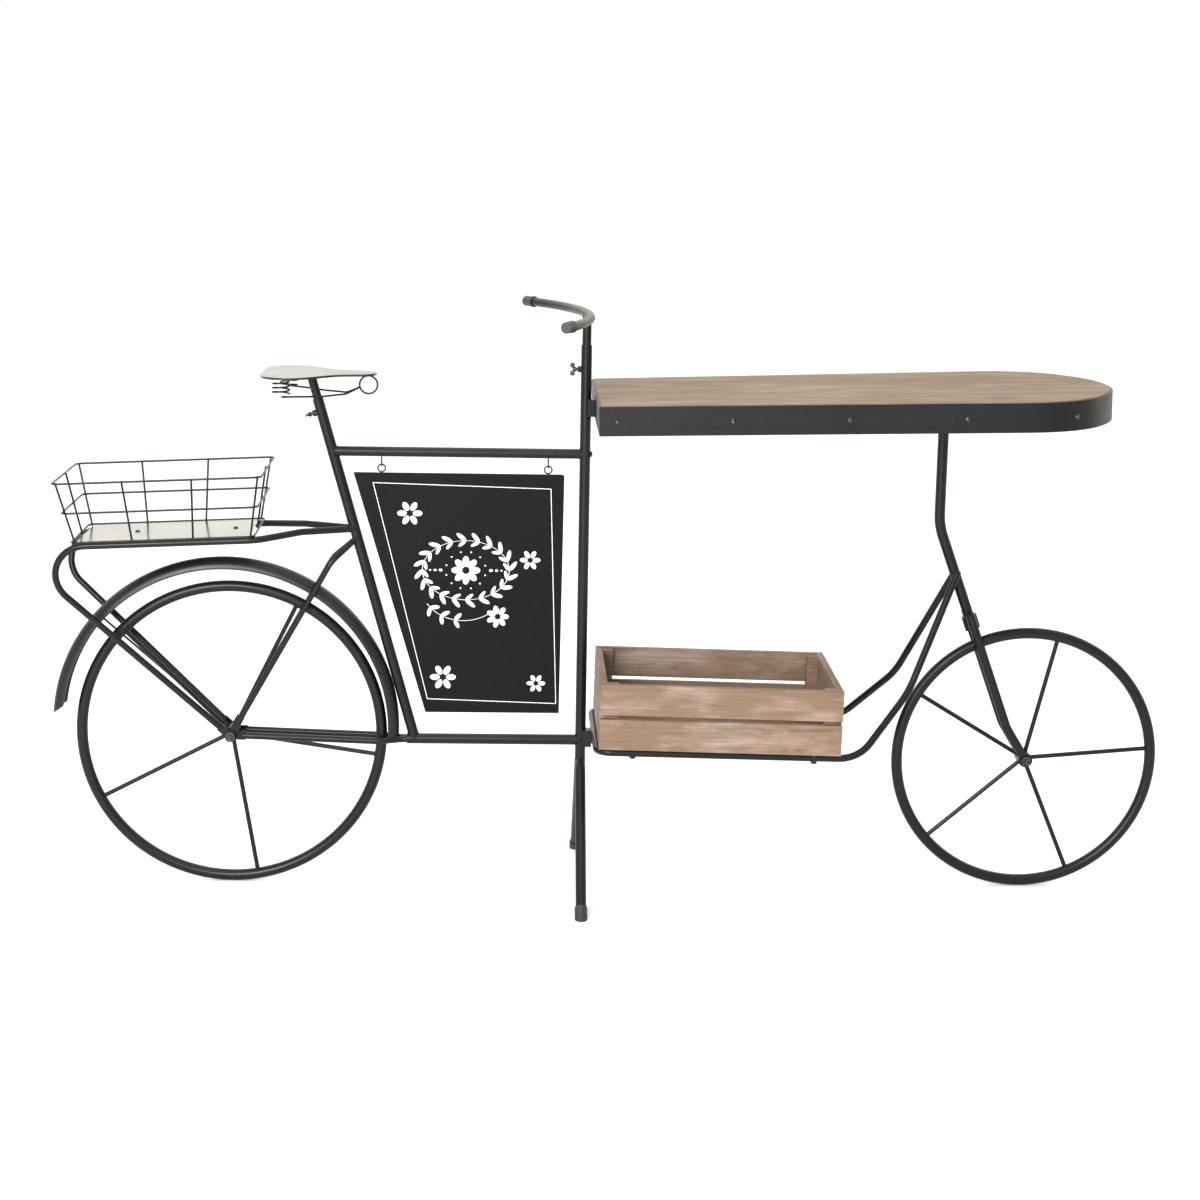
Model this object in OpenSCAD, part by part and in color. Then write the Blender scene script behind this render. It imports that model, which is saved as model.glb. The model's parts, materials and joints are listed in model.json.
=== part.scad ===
// Bicycle-shaped metal display table: two ring wheels, a tube frame bolted to a main post,
// a wire basket, a decorative saddle, a hanging sign, a banded wood table and a crate on a tray.
// Lengths are in millimetres. +X points to the front wheel, +Z up, and -Y is the near side.
// Pieces are placed from the rear axle and moved together so that the box's middle is the origin.

/* [Wheels] */
// Distance between the two axles
wheelbase = 1446; // [1200:1:1700]
// Outer diameter of the rear ring
rear_wheel_d = 560; // [460:1:620]
// Outer diameter of the front ring
front_wheel_d = 488; // [400:1:560]
// Diameter of the tube that a ring is bent from
ring_tube_d = 20; // [14:0.5:22]
// Diameter of a spoke
spoke_d = 8; // [5:0.5:10]
// Number of spokes in a wheel
spoke_count = 5; // [3:1:8]
// Angle of the rear wheel's first spoke above the horizontal
rear_spoke_angle = 63.5; // [0:0.5:72]
// Angle of the front wheel's first spoke above the horizontal
front_spoke_angle = 5; // [0:0.5:72]
// Diameter of a hub barrel
hub_d = 26; // [20:0.5:32]
// Diameter of an axle
axle_d = 10; // [8:0.5:12]
// Half of the rear hub barrel's length
rear_hub_half = 18; // [17:0.5:20]
// Half of the front hub barrel's length
front_hub_half = 19.5; // [18:0.5:24]

/* [Frame] */
// Diameter of the main tubes
tube_d = 19; // [16:0.5:24]
// Wall of the post and the seat tube
tube_wall = 1.5; // [1:0.1:2]
// Distance from the rear axle to the main post
post_x = 631; // [560:1:680]
// Height of the main post's top end
post_top_z = 990; // [960:1:1040]
// Height of the top tube
top_tube_z = 796; // [780:1:840]
// Height of the bottom tube
bottom_tube_z = 271; // [255:1:280]
// Distance from the rear axle to the foot of the seat tube
seat_tube_foot_x = 330; // [320:1:345]
// Lean of the seat tube from the vertical
seat_tube_lean = 15.6; // [12:0.1:18]
// Height of the seat tube's top end
seat_tube_top_z = 889; // [870:1:910]
// Diameter of the chain stays, the seat stay and the rack tubes
stay_d = 12; // [9:0.5:13]
// Thickness of the flattened ends of the stays
tab_t = 4; // [3:0.5:5]

/* [Rack and basket] */
// Upward tilt of the rack and the basket towards the seat
rack_tilt = 2.7; // [0:0.1:4]
// Distance of the basket's rear end behind the rear axle, at its base
basket_back_x = 265; // [240:1:275]
// Height of the basket's base at its rear end
basket_base_z = 642; // [630:1:660]
// Length of the basket's base
basket_base_l = 318; // [280:1:330]
// Half of the basket's depth at its base
basket_base_half = 97; // [90:1:110]
// Height of the basket
basket_h = 108; // [80:1:130]
// How far the basket's ends lean out at the rim
basket_end_flare = 21; // [0:1:30]
// How far the basket's sides lean out at the rim
basket_side_flare = 27; // [0:1:40]
// Diameter of the basket's wires
basket_wire_d = 3.6; // [2.5:0.1:5]
// Half of the distance between the rack tubes
rack_half = 88; // [80:1:92]
// Bend radius at the rack's rear end
rack_bend_r = 55; // [45:1:60]

/* [Mudguard] */
// Outer radius of the mudguard's crown
mudguard_r = 311.9; // [305:0.1:312]
// Width of the mudguard
mudguard_w = 40; // [34:1:41]
// Depth of the mudguard's crown
mudguard_crown = 20; // [14:0.5:24]
// Thickness of the mudguard's sheet
mudguard_t = 1.5; // [1:0.1:2]

/* [Seat] */
// Diameter of the seat post
seat_post_d = 15.9; // [14:0.1:15.9]
// Length of the saddle plate
saddle_l = 200; // [180:1:220]
// Half width of the saddle plate at the back
saddle_half = 108; // [95:1:120]
// Thickness of the saddle plate
saddle_t = 4; // [3:0.5:6]
// Height of the saddle plate's top face
saddle_z = 936; // [926:1:960]
// Diameter of the saddle's wires
saddle_wire_d = 3.4; // [2.5:0.1:4]
// Number of turns in a saddle spring
spring_turns = 3.5; // [2:0.5:4]

/* [Handlebar] */
// Diameter of the handlebar tube
bar_d = 16; // [14:0.5:18]
// Height of the handlebar's centre line
bar_z = 1045; // [1020:1:1090]
// Half of the straight distance between the handlebar's ends
bar_half = 276; // [220:1:300]
// Angle that each half of the handlebar bends through
bar_sweep = 30; // [20:1:40]
// Angle that the handlebar is turned about the post
bar_turn = 6.5; // [0:0.5:20]
// Diameter of the handlebar's end caps
bar_cap_d = 20.5; // [18:0.5:24]

/* [Sign] */
// Height of the sign's top edge
sign_top_z = 758.5; // [745:0.5:759]
// Height of the sign
sign_h = 438; // [380:1:450]
// Thickness of the sign's sheet
sign_t = 3; // [2:0.5:5]
// Gap between the sign's right edge and the post's axis
sign_post_gap = 36; // [28:1:60]
// Length of the sign's top edge
sign_top_l = 375; // [330:1:380]
// Length of the sign's bottom edge
sign_bottom_l = 242; // [200:1:250]

/* [Table] */
// Height of the table top at the post
table_z = 908; // [880:1:920]
// Upward tilt of the table towards its round end
table_rise = 1.6; // [0:0.1:2]
// Length of the table top
table_l = 915; // [880:1:960]
// Half of the table's depth at the post
table_half_back = 211; // [180:1:225]
// Half of the table's depth before the round end
table_half_front = 245; // [215:1:260]
// Radius of the round end's corners
table_corner_r = 150; // [130:1:160]
// Thickness of the planks
plank_t = 22; // [18:0.5:28]
// Height of the metal band
band_h = 50; // [40:1:60]
// Thickness of the metal band
band_t = 3; // [2:0.5:4]
// Number of planks across the table
plank_count = 5; // [3:1:7]

/* [Crate and tray] */
// Downward tilt of the tray towards the front wheel
tray_fall = 1.2; // [0:0.1:2]
// Free space between the crate and the front wheel
crate_wheel_gap = 115; // [100:1:160]
// Half of the crate's outer depth
crate_half = 158; // [140:1:170]
// Height of the crate
crate_h = 117; // [90:1:140]
// Thickness of the crate's boards
crate_board_t = 12; // [9:0.5:15]
// Gap between the two planks of a crate side
crate_gap = 8; // [3:0.5:12]
// Height of the crate's bottom at the post
crate_z = 295; // [285:1:300]
// Diameter of the tray rails
rail_d = 13; // [11:0.5:14]

/* [Stand] */
// Half of the distance between the feet
foot_half = 205; // [180:1:260]
// Bend radius at the top of the stand
stand_bend_r = 45; // [40:1:60]
// Reach of a rubber cap up the end of its leg
foot_h = 12; // [8:0.5:20]
// Wall of a rubber cap
foot_wall = 1.8; // [1.5:0.1:3]

/* [Hidden] */
$fn = 48;

// Fits
run_fit = 0.05;      // radial clearance of a turning or sliding fit
touch = 0.02;        // gap between two pieces that are welded or screwed face to face
side_gap = 0.5;      // axial clearance beside a hub
bend_seam = 0.01;    // hairline seam between a bar's straight run and its bend
bend_core = 1;       // reach of the core on each side of that seam
core_share = 0.75;   // core's diameter as a share of the bar's

// Places that follow from the sizes above
rear_hub = [0, 0, rear_wheel_d / 2];
front_hub_at = [wheelbase, 0, front_wheel_d / 2];
tube_r = tube_d / 2;
mudguard_at = [0.263 - tube_r / cos(seat_tube_lean), 0, rear_wheel_d / 2 + 11.5];
back_reach = mudguard_r - mudguard_at[0];
frame_shift = -(wheelbase + front_wheel_d / 2 - back_reach) / 2;
seat_foot = [seat_tube_foot_x, 0, bottom_tube_z];
seat_up = [-sin(seat_tube_lean), 0, cos(seat_tube_lean)];
eye_d = 21;
tab_l = 26;
tab_w = stay_d + 3;
fender_tab_y = rear_hub_half + side_gap;
fender_tab_t = 2;
chain_tab_y = fender_tab_y + fender_tab_t + touch;
seat_tab_y = chain_tab_y + tab_t + touch;
rack_tab_y = seat_tab_y + tab_t + touch;
rear_nut_y = rack_tab_y + tab_t + touch;
fork_tab_y = front_hub_half + side_gap;
front_nut_y = fork_tab_y + tab_t + touch;
nut_h = 7;
axle_end = 3;
blade_d = 16;
fork_half = fork_tab_y + tab_t / 2;
fork_lean = 20.3;
support_x = wheelbase - 175;
support_corner_z = 675;
fork_top_z = 507;
crown_d = 2 * fork_half - blade_d;
plate_t = 4;
support_top_z = table_z - plank_t + (support_x - table_x()) * tan(table_rise);
black = [0.16, 0.16, 0.16];
wood = [0.72, 0.6, 0.47];

// Seat tube's axis at a height
function seat_at(z) = seat_foot + seat_up * ((z - bottom_tube_z) / cos(seat_tube_lean));
// Post's near side of the table
function table_x() = post_x + tube_r + 6.5;
// A point on the fork's line at a height
function fork_at(z, y) = [support_x + (support_corner_z - z) * tan(fork_lean), y, z];
// A point of the tilted rack and basket, from the basket's rear base corner
function deck(x, y, z) = [
    -basket_back_x + x * cos(rack_tilt) - z * sin(rack_tilt), y,
    basket_base_z + x * sin(rack_tilt) + z * cos(rack_tilt)];
// A point of the tilted tray, from the crate's bottom at the post
function tray(x, y, z) = [
    crate_x + x * cos(tray_fall) + z * sin(tray_fall), y,
    crate_z - x * sin(tray_fall) + z * cos(tray_fall)];
function unit(v) = v / norm(v);
function turn(a, b, c) = acos(unit(b - a) * unit(c - b));
function trim(a, b, c, r) = r * tan(turn(a, b, c) / 2);
function near(p) = [p[0], -p[1], p[2]];

crate_x = post_x + tube_r + 18.5;
// The crate fills the space from the post to the front wheel, less the free space
crate_l = wheelbase - front_wheel_d / 2 - crate_wheel_gap - crate_x;

module placed() {
    translate([frame_shift, 0, 0]) children();
}

// Round bar between two points
module rod(a, b, d) {
    v = b - a;
    translate(a)
        rotate([0, acos(v[2] / norm(v)), atan2(v[1], v[0])])
            cylinder(h = norm(v), d = d);
}

// Round bar's bend at the corner b
module elbow(a, b, c, r, d) {
    u = unit(b - a);
    v = unit(c - b);
    inward = unit(v - (v * u) * u);
    centre = b - u * trim(a, b, c, r) + inward * r;
    out = -inward;
    side = cross(out, u);
    multmatrix([
        [out[0], u[0], side[0], centre[0]],
        [out[1], u[1], side[1], centre[1]],
        [out[2], u[2], side[2], centre[2]],
        [0, 0, 0, 1]])
        rotate_extrude(angle = turn(a, b, c))
            translate([r, 0]) circle(d = d);
}

// Round bar bent at each corner of a route
module bent_rod(route, radii, d) {
    last = len(route) - 1;
    for (i = [0 : last - 1]) {
        along = unit(route[i + 1] - route[i]);
        from = i == 0 ? route[i]
            : route[i] + along * trim(route[i - 1], route[i], route[i + 1], radii[i - 1]);
        to = i == last - 1 ? route[i + 1]
            : route[i + 1] - along * trim(route[i], route[i + 1], route[i + 2], radii[i]);
        rod(from + (i == 0 ? 0 : bend_seam) * along,
            to - (i == last - 1 ? 0 : bend_seam) * along, d);
        // A core carries the bar across the hairline seam beside each bend
        if (i > 0) rod(from - bend_core * along, from + bend_core * along, core_share * d);
        if (i < last - 1) rod(to - bend_core * along, to + bend_core * along, core_share * d);
    }
    for (i = [1 : last - 1])
        elbow(route[i - 1], route[i], route[i + 1], radii[i - 1], d);
}

// Closed wire loop with rounded corners, flat at a height
module wire_loop(x0, x1, half, corner_r, d) {
    for (s = [-1, 1]) {
        translate([x0 + corner_r, s * half, 0])
            rotate([0, 90, 0]) cylinder(h = x1 - x0 - 2 * corner_r, d = d);
        translate([s < 0 ? x0 : x1, half - corner_r, 0])
            rotate([90, 0, 0]) cylinder(h = 2 * (half - corner_r), d = d);
    }
    for (sx = [0, 1], sy = [0, 1])
        translate([sx == 0 ? x0 + corner_r : x1 - corner_r,
                sy == 0 ? -half + corner_r : half - corner_r, 0])
            rotate([0, 0, sx == 0 ? (sy == 0 ? 180 : 90) : (sy == 0 ? 270 : 0)])
                rotate_extrude(angle = 90) translate([corner_r, 0]) circle(d = d, $fn = 24);
}

// Both sides of the frame
module both_sides() {
    children();
    mirror([0, 1, 0]) children();
}

// Hexagon head or nut, standing on the XY plane
module hexagon(across, h) {
    cylinder(h = h, d = across / cos(30), $fn = 6);
}

// Domed bolt head, standing on the XY plane
module dome(d, h) {
    r = (d * d / 4 + h * h) / (2 * h);
    intersection() {
        translate([0, 0, h - r]) sphere(r = r);
        cylinder(h = h, d = d);
    }
}

// ---------------------------------------------------------------- wheels

module wheel_ring(hub, wheel_d, grow = 0) {
    translate(hub) rotate([90, 0, 0])
        rotate_extrude($fn = 96) translate([wheel_d / 2 - ring_tube_d / 2, 0])
            circle(d = ring_tube_d + 2 * grow);
}

module wheel_spokes(hub, wheel_d, angle) {
    reach = wheel_d / 2 - ring_tube_d / 2;
    difference() {
        translate(hub)
            for (i = [0 : spoke_count - 1])
                rotate([0, -(angle + i * 360 / spoke_count), 0])
                    translate([hub_d / 2 - 2, 0, 0])
                        rotate([0, 90, 0]) cylinder(h = reach - hub_d / 2 + 2, d = spoke_d);
        wheel_ring(hub, wheel_d, touch);
        wheel_hub_barrel(hub, rear_hub_half, touch);
    }
}

module wheel_hub_barrel(hub, half, grow = 0) {
    translate(hub) rotate([90, 0, 0]) cylinder(h = 2 * half, d = hub_d + 2 * grow, center = true);
}

module wheel_hub(hub, half) {
    difference() {
        wheel_hub_barrel(hub, half);
        translate(hub) rotate([90, 0, 0])
            cylinder(h = 2 * half + 2, d = axle_d + 2 * run_fit, center = true);
    }
}

module axle(hub, half) {
    translate(hub) rotate([90, 0, 0]) cylinder(h = 2 * half, d = axle_d, center = true);
}

module axle_nuts(hub, y) {
    both_sides()
        translate(hub + [0, -y, 0]) rotate([90, 0, 0])
            difference() {
                hexagon(17, nut_h);
                translate([0, 0, -1]) cylinder(h = nut_h + 2, d = axle_d + 2 * touch);
            }
}

module rear_ring() { color(black) placed() wheel_ring(rear_hub, rear_wheel_d); }
module rear_spokes() {
    color(black) placed() wheel_spokes(rear_hub, rear_wheel_d, rear_spoke_angle);
}
module rear_hub_part() { color(black) placed() wheel_hub(rear_hub, rear_hub_half); }
module rear_axle() { color(black) placed() axle(rear_hub, rear_nut_y + nut_h + axle_end); }
module rear_axle_nuts() { color(black) placed() axle_nuts(rear_hub, rear_nut_y); }
module front_ring() { color(black) placed() wheel_ring(front_hub_at, front_wheel_d); }
module front_spokes() {
    color(black) placed() wheel_spokes(front_hub_at, front_wheel_d, front_spoke_angle);
}
module front_hub() { color(black) placed() wheel_hub(front_hub_at, front_hub_half); }
module front_axle() { color(black) placed() axle(front_hub_at, front_nut_y + nut_h + axle_end); }
module front_axle_nuts() { color(black) placed() axle_nuts(front_hub_at, front_nut_y); }

// Flattened, drilled end of a stay, pointing along an angle in the XZ plane
module stay_eye(hub, angle, y, t) {
    translate(hub + [0, -y, 0]) rotate([90, 0, 0]) rotate([0, 0, angle])
        difference() {
            union() {
                cylinder(h = t, d = eye_d);
                translate([0, -tab_w / 2, 0]) cube([tab_l, tab_w, t]);
            }
            translate([0, 0, -1]) cylinder(h = t + 2, d = axle_d + 2 * touch);
        }
}

// ---------------------------------------------------------------- frame

// A piece that meets one of these solids is cut back from it by the weld gap
module seat_tube_solid(grow = 0) {
    rod(seat_at(bottom_tube_z), seat_at(seat_tube_top_z), tube_d + 2 * grow);
}

module bottom_tube_solid(grow = 0) {
    rod([seat_tube_foot_x - bottom_tube_back, 0, bottom_tube_z], [post_x, 0, bottom_tube_z],
        tube_d + 2 * grow);
}

module main_post_solid(grow = 0) {
    translate([post_x, 0, post_bottom_z])
        cylinder(h = post_top_z - post_bottom_z, d = tube_d + 2 * grow);
}

bottom_tube_back = 14;
stand_apex_z = 255;
foot_end_z = 9;
post_bottom_z = 232;

module stand_legs_solid(grow = 0) {
    bent_rod([[post_x, -foot_half, foot_end_z], [post_x, 0, stand_apex_z],
            [post_x, foot_half, foot_end_z]], [stand_bend_r], tube_d + 2 * grow);
}

seat_bore_from_z = 560;
screw_boss_d = 11;
screw_boss_l = 6;
seat_screw_z = 866;
stem_screw_z = 947;
screw_d = 5;

// Boss and clamping screw hole on the back of a tube: z runs out of the boss
module on_seat_tube(z) {
    translate(seat_at(z)) rotate([0, -seat_tube_lean, 0]) rotate([0, -90, 0]) children();
}
module on_post(z) {
    translate([post_x, 0, z]) rotate([0, -90, 0]) children();
}

module seat_tube() {
    color(black) placed()
    difference() {
        union() {
            seat_tube_solid();
            on_seat_tube(seat_screw_z) cylinder(h = tube_r + screw_boss_l, d = screw_boss_d);
        }
        bottom_tube_solid(touch);
        rod(seat_at(seat_bore_from_z), seat_at(seat_tube_top_z + 5), tube_d - 2 * tube_wall);
        on_seat_tube(seat_screw_z) cylinder(h = tube_r + screw_boss_l + 1, d = screw_d + 2 * run_fit);
    }
}

module top_tube() {
    color(black) placed()
    difference() {
        rod(seat_at(top_tube_z), [post_x, 0, top_tube_z], tube_d - 1.5);
        seat_tube_solid(touch);
        main_post_solid(touch);
        hook_shanks(hook_wire_d + 2 * touch);
        post_bolt_at(top_tube_z) translate([0, 0, -40]) cylinder(h = 40, d = 6 + 2 * touch);
    }
}

module bottom_tube() {
    color(black) placed()
    difference() {
        bottom_tube_solid();
        main_post_solid(touch);
        post_bolt_at(bottom_tube_z) translate([0, 0, -40]) cylinder(h = 40, d = 6 + 2 * touch);
    }
}

// A bolt through the post along X, its head outwards
module post_bolt_at(z) {
    translate([post_x + tube_r, 0, z]) rotate([0, 90, 0]) children();
}

module main_post() {
    color(black) placed()
    difference() {
        union() {
            main_post_solid();
            on_post(stem_screw_z) cylinder(h = tube_r + screw_boss_l, d = screw_boss_d);
        }
        stand_legs_solid(touch);
        translate([post_x, 0, post_bore_from_z])
            cylinder(h = post_top_z, d = tube_d - 2 * tube_wall);
        on_post(stem_screw_z) cylinder(h = tube_r + screw_boss_l + 1, d = screw_d + 2 * run_fit);
        for (z = [top_tube_z, bottom_tube_z])
            post_bolt_at(z) translate([0, 0, -40]) cylinder(h = 41, d = 6 + 2 * touch);
    }
}
post_bore_from_z = 830;

module post_bolts() {
    color(black) placed() {
        post_bolt_at(top_tube_z) {
            translate([0, 0, touch]) dome(12, 4);
            translate([0, 0, -30]) cylinder(h = 30 + 1, d = 6);
        }
        post_bolt_at(bottom_tube_z) {
            translate([0, 0, bracket_t + touch]) hexagon(13, 5);
            translate([0, 0, -30]) cylinder(h = 30 + bracket_t + 1, d = 6);
        }
    }
}
bracket_t = 10;

// The stays close in on the bottom tube's end, side by side
chain_end_y = stay_d / 2 + 0.6;
module chain_stay() {
    y = chain_tab_y + tab_t / 2;
    tube_end_x = seat_tube_foot_x - bottom_tube_back;
    stay_eye(rear_hub, -1.8, chain_tab_y, tab_t);
    bent_rod([rear_hub + [tab_l - 4, -y, -0.7], [rear_wheel_d / 2 - 12, -y, bottom_tube_z],
            [tube_end_x - 10, -chain_end_y, bottom_tube_z],
            [tube_end_x - touch, -chain_end_y, bottom_tube_z]], [30, 18], stay_d);
}

module chain_stays() { color(black) placed() both_sides() chain_stay(); }

seat_stay_angle = 60.4;
seat_stay_knee = 368;
seat_stay_top_z = 641;
seat_stay_d = stay_d - 2;
module seat_stay() {
    y = seat_tab_y + tab_t / 2;
    along = [cos(seat_stay_angle), 0, sin(seat_stay_angle)];
    difference() {
        union() {
            stay_eye(rear_hub, seat_stay_angle, seat_tab_y, tab_t);
            bent_rod([rear_hub + (tab_l - 4) * along - [0, y, 0],
                    rear_hub + seat_stay_knee * along - [0, y, 0],
                    [seat_at(seat_stay_top_z)[0], -4, seat_stay_top_z]], [50], seat_stay_d);
        }
        seat_tube_solid(touch);
    }
}

module seat_stays() { color(black) placed() both_sides() seat_stay(); }

rack_low_angle = 136.8;
rack_low_y = rack_tab_y + tab_t / 2;
rack_drop = basket_wire_d / 2 + stay_d / 2 + touch;
rack_low_start = rear_hub + [(tab_l - 4) * cos(rack_low_angle), 0, (tab_l - 4) * sin(rack_low_angle)];
rack_top_z = 657;
// Where the rack's upper and lower runs would meet
rack_corner = deck(-107.5, rack_half, -rack_drop);

module rack_tube() {
    difference() {
        union() {
            stay_eye(rear_hub, rack_low_angle, rack_tab_y, tab_t);
            bent_rod([
                    [seat_at(rack_top_z)[0], -tube_r / 2, rack_top_z],
                    [post_x - 500, -44, rack_top_z],
                    near(deck(basket_base_l + 4, rack_half, -rack_drop)),
                    near(rack_corner),
                    rack_low_start - [0, rack_low_y, 0]],
                [60, 60, rack_bend_r], stay_d);
        }
        seat_tube_solid(touch);
    }
}

module rack_tube_near() { color(black) placed() rack_tube(); }
module rack_tube_far() { color(black) placed() mirror([0, 1, 0]) rack_tube(); }

screw_xs = [102, 276];
strap_w = 24;
strap_t = 3;
module rack_straps() {
    color(black) placed()
    difference() {
        for (x = screw_xs)
            translate(deck(x, 0, 0)) rotate([0, -rack_tilt, 0])
                translate([-strap_w / 2, -rack_half, -basket_wire_d / 2 - strap_t - touch])
                    cube([strap_w, 2 * rack_half, strap_t]);
        both_sides() rod(near(deck(0, rack_half, -rack_drop)),
            near(deck(basket_base_l, rack_half, -rack_drop)), stay_d + 2 * touch);
        basket_screw_shanks(4 + 2 * touch);
    }
}

module basket_screw_shanks(d) {
    for (x = screw_xs)
        translate(deck(x, 0, 0)) rotate([0, -rack_tilt, 0])
            translate([0, 0, -12]) cylinder(h = 14, d = d);
}

// ---------------------------------------------------------------- mudguard

mudguard_end_slope = 37;
module mudguard() {
    half = mudguard_w / 2;
    r = (half * half + mudguard_crown * mudguard_crown) / (2 * mudguard_crown);
    color(black) placed()
    difference() {
        translate(mudguard_at) rotate([90, 0, 0]) rotate([0, 0, -8])
            rotate_extrude(angle = 192, $fn = 96)
                intersection() {
                    translate([mudguard_r - r, 0]) difference() {
                        circle(r = r);
                        circle(r = r - mudguard_t);
                    }
                    translate([mudguard_r - mudguard_crown, -half - 1])
                        square([mudguard_crown + 1, 2 * half + 2]);
                }
        // The rear end is cut on a slope, the front end stands flat on the chain stays
        translate(mudguard_at + [-mudguard_r, 0, 22]) rotate([0, -mudguard_end_slope, 0])
            translate([-60, -50, -120]) cube([160, 100, 120]);
        translate([mudguard_at[0] + mudguard_r - 60, -50, bottom_tube_z + stay_d / 2 + 2 * touch - 100])
            cube([80, 100, 100]);
    }
}

module mudguard_stays() {
    angle = 139;
    half = mudguard_w / 2;
    side_r = mudguard_r - mudguard_crown + 3;
    end = [mudguard_at[0] + side_r * cos(angle), -half - 2.05, mudguard_at[2] + side_r * sin(angle)];
    from_hub = end - rear_hub;
    lean = atan2(from_hub[2], from_hub[0]);
    y = fender_tab_y + fender_tab_t / 2;
    start = rear_hub + [18 * cos(lean), -y, 18 * sin(lean)];
    color(black) placed() both_sides()
        difference() {
            union() {
                translate(rear_hub + [0, -fender_tab_y, 0]) rotate([90, 0, 0])
                    rotate([0, 0, lean]) union() {
                        cylinder(h = fender_tab_t, d = eye_d - 2);
                        translate([0, -3, 0]) cube([tab_l, 6, fender_tab_t]);
                    }
                rod(start, end, 4);
            }
            translate(rear_hub) rotate([90, 0, 0])
                cylinder(h = 200, d = axle_d + 2 * touch, center = true);
        }
}

// ---------------------------------------------------------------- stand

module stand_legs() { color(black) placed() stand_legs_solid(); }

// Each cap follows its leg and is flat where it stands on the floor
module foot_caps() {
    foot = [post_x, -foot_half, foot_end_z];
    up_leg = unit([0, foot_half, stand_apex_z - foot_end_z]);
    color([0.1, 0.1, 0.1]) placed() both_sides()
        difference() {
            rod(foot - 24 * up_leg, foot + foot_h * up_leg, tube_d + 2 * foot_wall);
            rod(foot, foot + 2 * foot_h * up_leg, tube_d + 2 * touch);
            translate([post_x - 50, -foot_half - 100, -100]) cube([100, 200, 100]);
        }
}

// ---------------------------------------------------------------- front support and fork

module front_support_solid(grow = 0) {
    bent_rod([[support_x, 0, support_top_z], [support_x, 0, support_corner_z],
            fork_at(484, 0)], [120], tube_d + 2 * grow);
}

module front_support() {
    color(black) placed()
    difference() {
        front_support_solid();
        on_table() translate([support_x - table_x() - 30, -30, -plank_t - plate_t])
            cube([60, 60, 30]);
    }
}

module support_plate() {
    color(black) placed() on_table()
        translate([support_x - table_x(), 0, -plank_t - plate_t])
            difference() {
                translate([-30, -40, touch]) cube([60, 80, plate_t - 2 * touch]);
                for (s = [-1, 1]) translate([0, s * 30, 0]) cylinder(h = plate_t, d = 5);
            }
}

module fork_crown() {
    color(black) placed()
    difference() {
        rod(fork_at(486, 0), fork_at(510, 0), crown_d);
        rod(fork_at(480, 0), fork_at(520, 0), tube_d + 2 * touch);
    }
}

module fork_blades() {
    to_hub = unit(front_hub_at - fork_at(306, 0));
    angle = atan2(-to_hub[2], -to_hub[0]);
    color(black) placed() both_sides()
        difference() {
            union() {
                stay_eye(front_hub_at, angle, fork_tab_y, tab_t);
                bent_rod([fork_at(516, -fork_half - touch), fork_at(306, -fork_half - touch),
                        front_hub_at - to_hub * (tab_l - 4) - [0, fork_half + touch, 0]],
                    [60], blade_d);
            }
            translate(front_hub_at) rotate([90, 0, 0])
                cylinder(h = 200, d = axle_d + 2 * touch, center = true);
        }
}

// ---------------------------------------------------------------- basket

module on_deck() {
    translate([-basket_back_x, 0, basket_base_z]) rotate([0, -rack_tilt, 0]) children();
}

// Half depth and ends of the basket at a share of its height
function basket_half(s) = basket_base_half + s * basket_side_flare;
function basket_low(s) = -s * basket_end_flare;
function basket_high(s) = basket_base_l + s * basket_end_flare;
basket_corner_r = 12;

module basket_loop(s, d) {
    translate([0, 0, s * basket_h])
        wire_loop(basket_low(s), basket_high(s), basket_half(s), basket_corner_r, d);
}

module basket_rim() { color(black) placed() on_deck() basket_loop(1, basket_wire_d); }
module basket_middle_wire() {
    color(black) placed() on_deck() basket_loop(0.5, basket_wire_d);
}
module basket_base_wire() { color(black) placed() on_deck() basket_loop(0, basket_wire_d); }

module basket_uprights() {
    in = basket_wire_d + 2 * touch;
    corner_in = basket_corner_r * (1 - cos(45)) + in * cos(45);
    color(black) placed() on_deck() {
        for (side = [-1, 1]) {
            for (third = [1, 2])
                rod([basket_low(0) + third * basket_base_l / 3, side * (basket_half(0) - in), 0],
                    [basket_low(1) + third * (basket_high(1) - basket_low(1)) / 3,
                        side * (basket_half(1) - in), basket_h], basket_wire_d);
            for (end = [0, 1])
                rod([end == 0 ? basket_low(0) + corner_in : basket_high(0) - corner_in,
                        side * (basket_half(0) - corner_in), 0],
                    [end == 0 ? basket_low(1) + corner_in : basket_high(1) - corner_in,
                        side * (basket_half(1) - corner_in), basket_h], basket_wire_d);
        }
        rod([basket_low(0) + in, 0, 0], [basket_low(1) + in, 0, basket_h], basket_wire_d);
        rod([basket_high(0) - in, 0, 0], [basket_high(1) - in, 0, basket_h], basket_wire_d);
    }
}

floor_t = 2;
floor_in = 9;
module basket_floor() {
    color([0.88, 0.87, 0.83]) placed() on_deck()
        difference() {
            translate([floor_in, -basket_base_half + floor_in, -basket_wire_d / 2 + touch])
                cube([basket_base_l - 2 * floor_in, 2 * (basket_base_half - floor_in), floor_t]);
            for (x = screw_xs) translate([x, 0, -4]) cylinder(h = 10, d = 4 + 2 * touch);
        }
}

module basket_screws() {
    color(black) placed() on_deck()
        for (x = screw_xs) translate([x, 0, -basket_wire_d / 2 + floor_t + 2 * touch]) {
            dome(10, 3);
            translate([0, 0, -8]) cylinder(h = 8.5, d = 4);
        }
}

// ---------------------------------------------------------------- saddle

saddle_back_x = 62;
spring_x = 100;
spring_y = 76;
spring_r = 14;
ring_r = 15.8;
nose_ring_x = 247;

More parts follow.
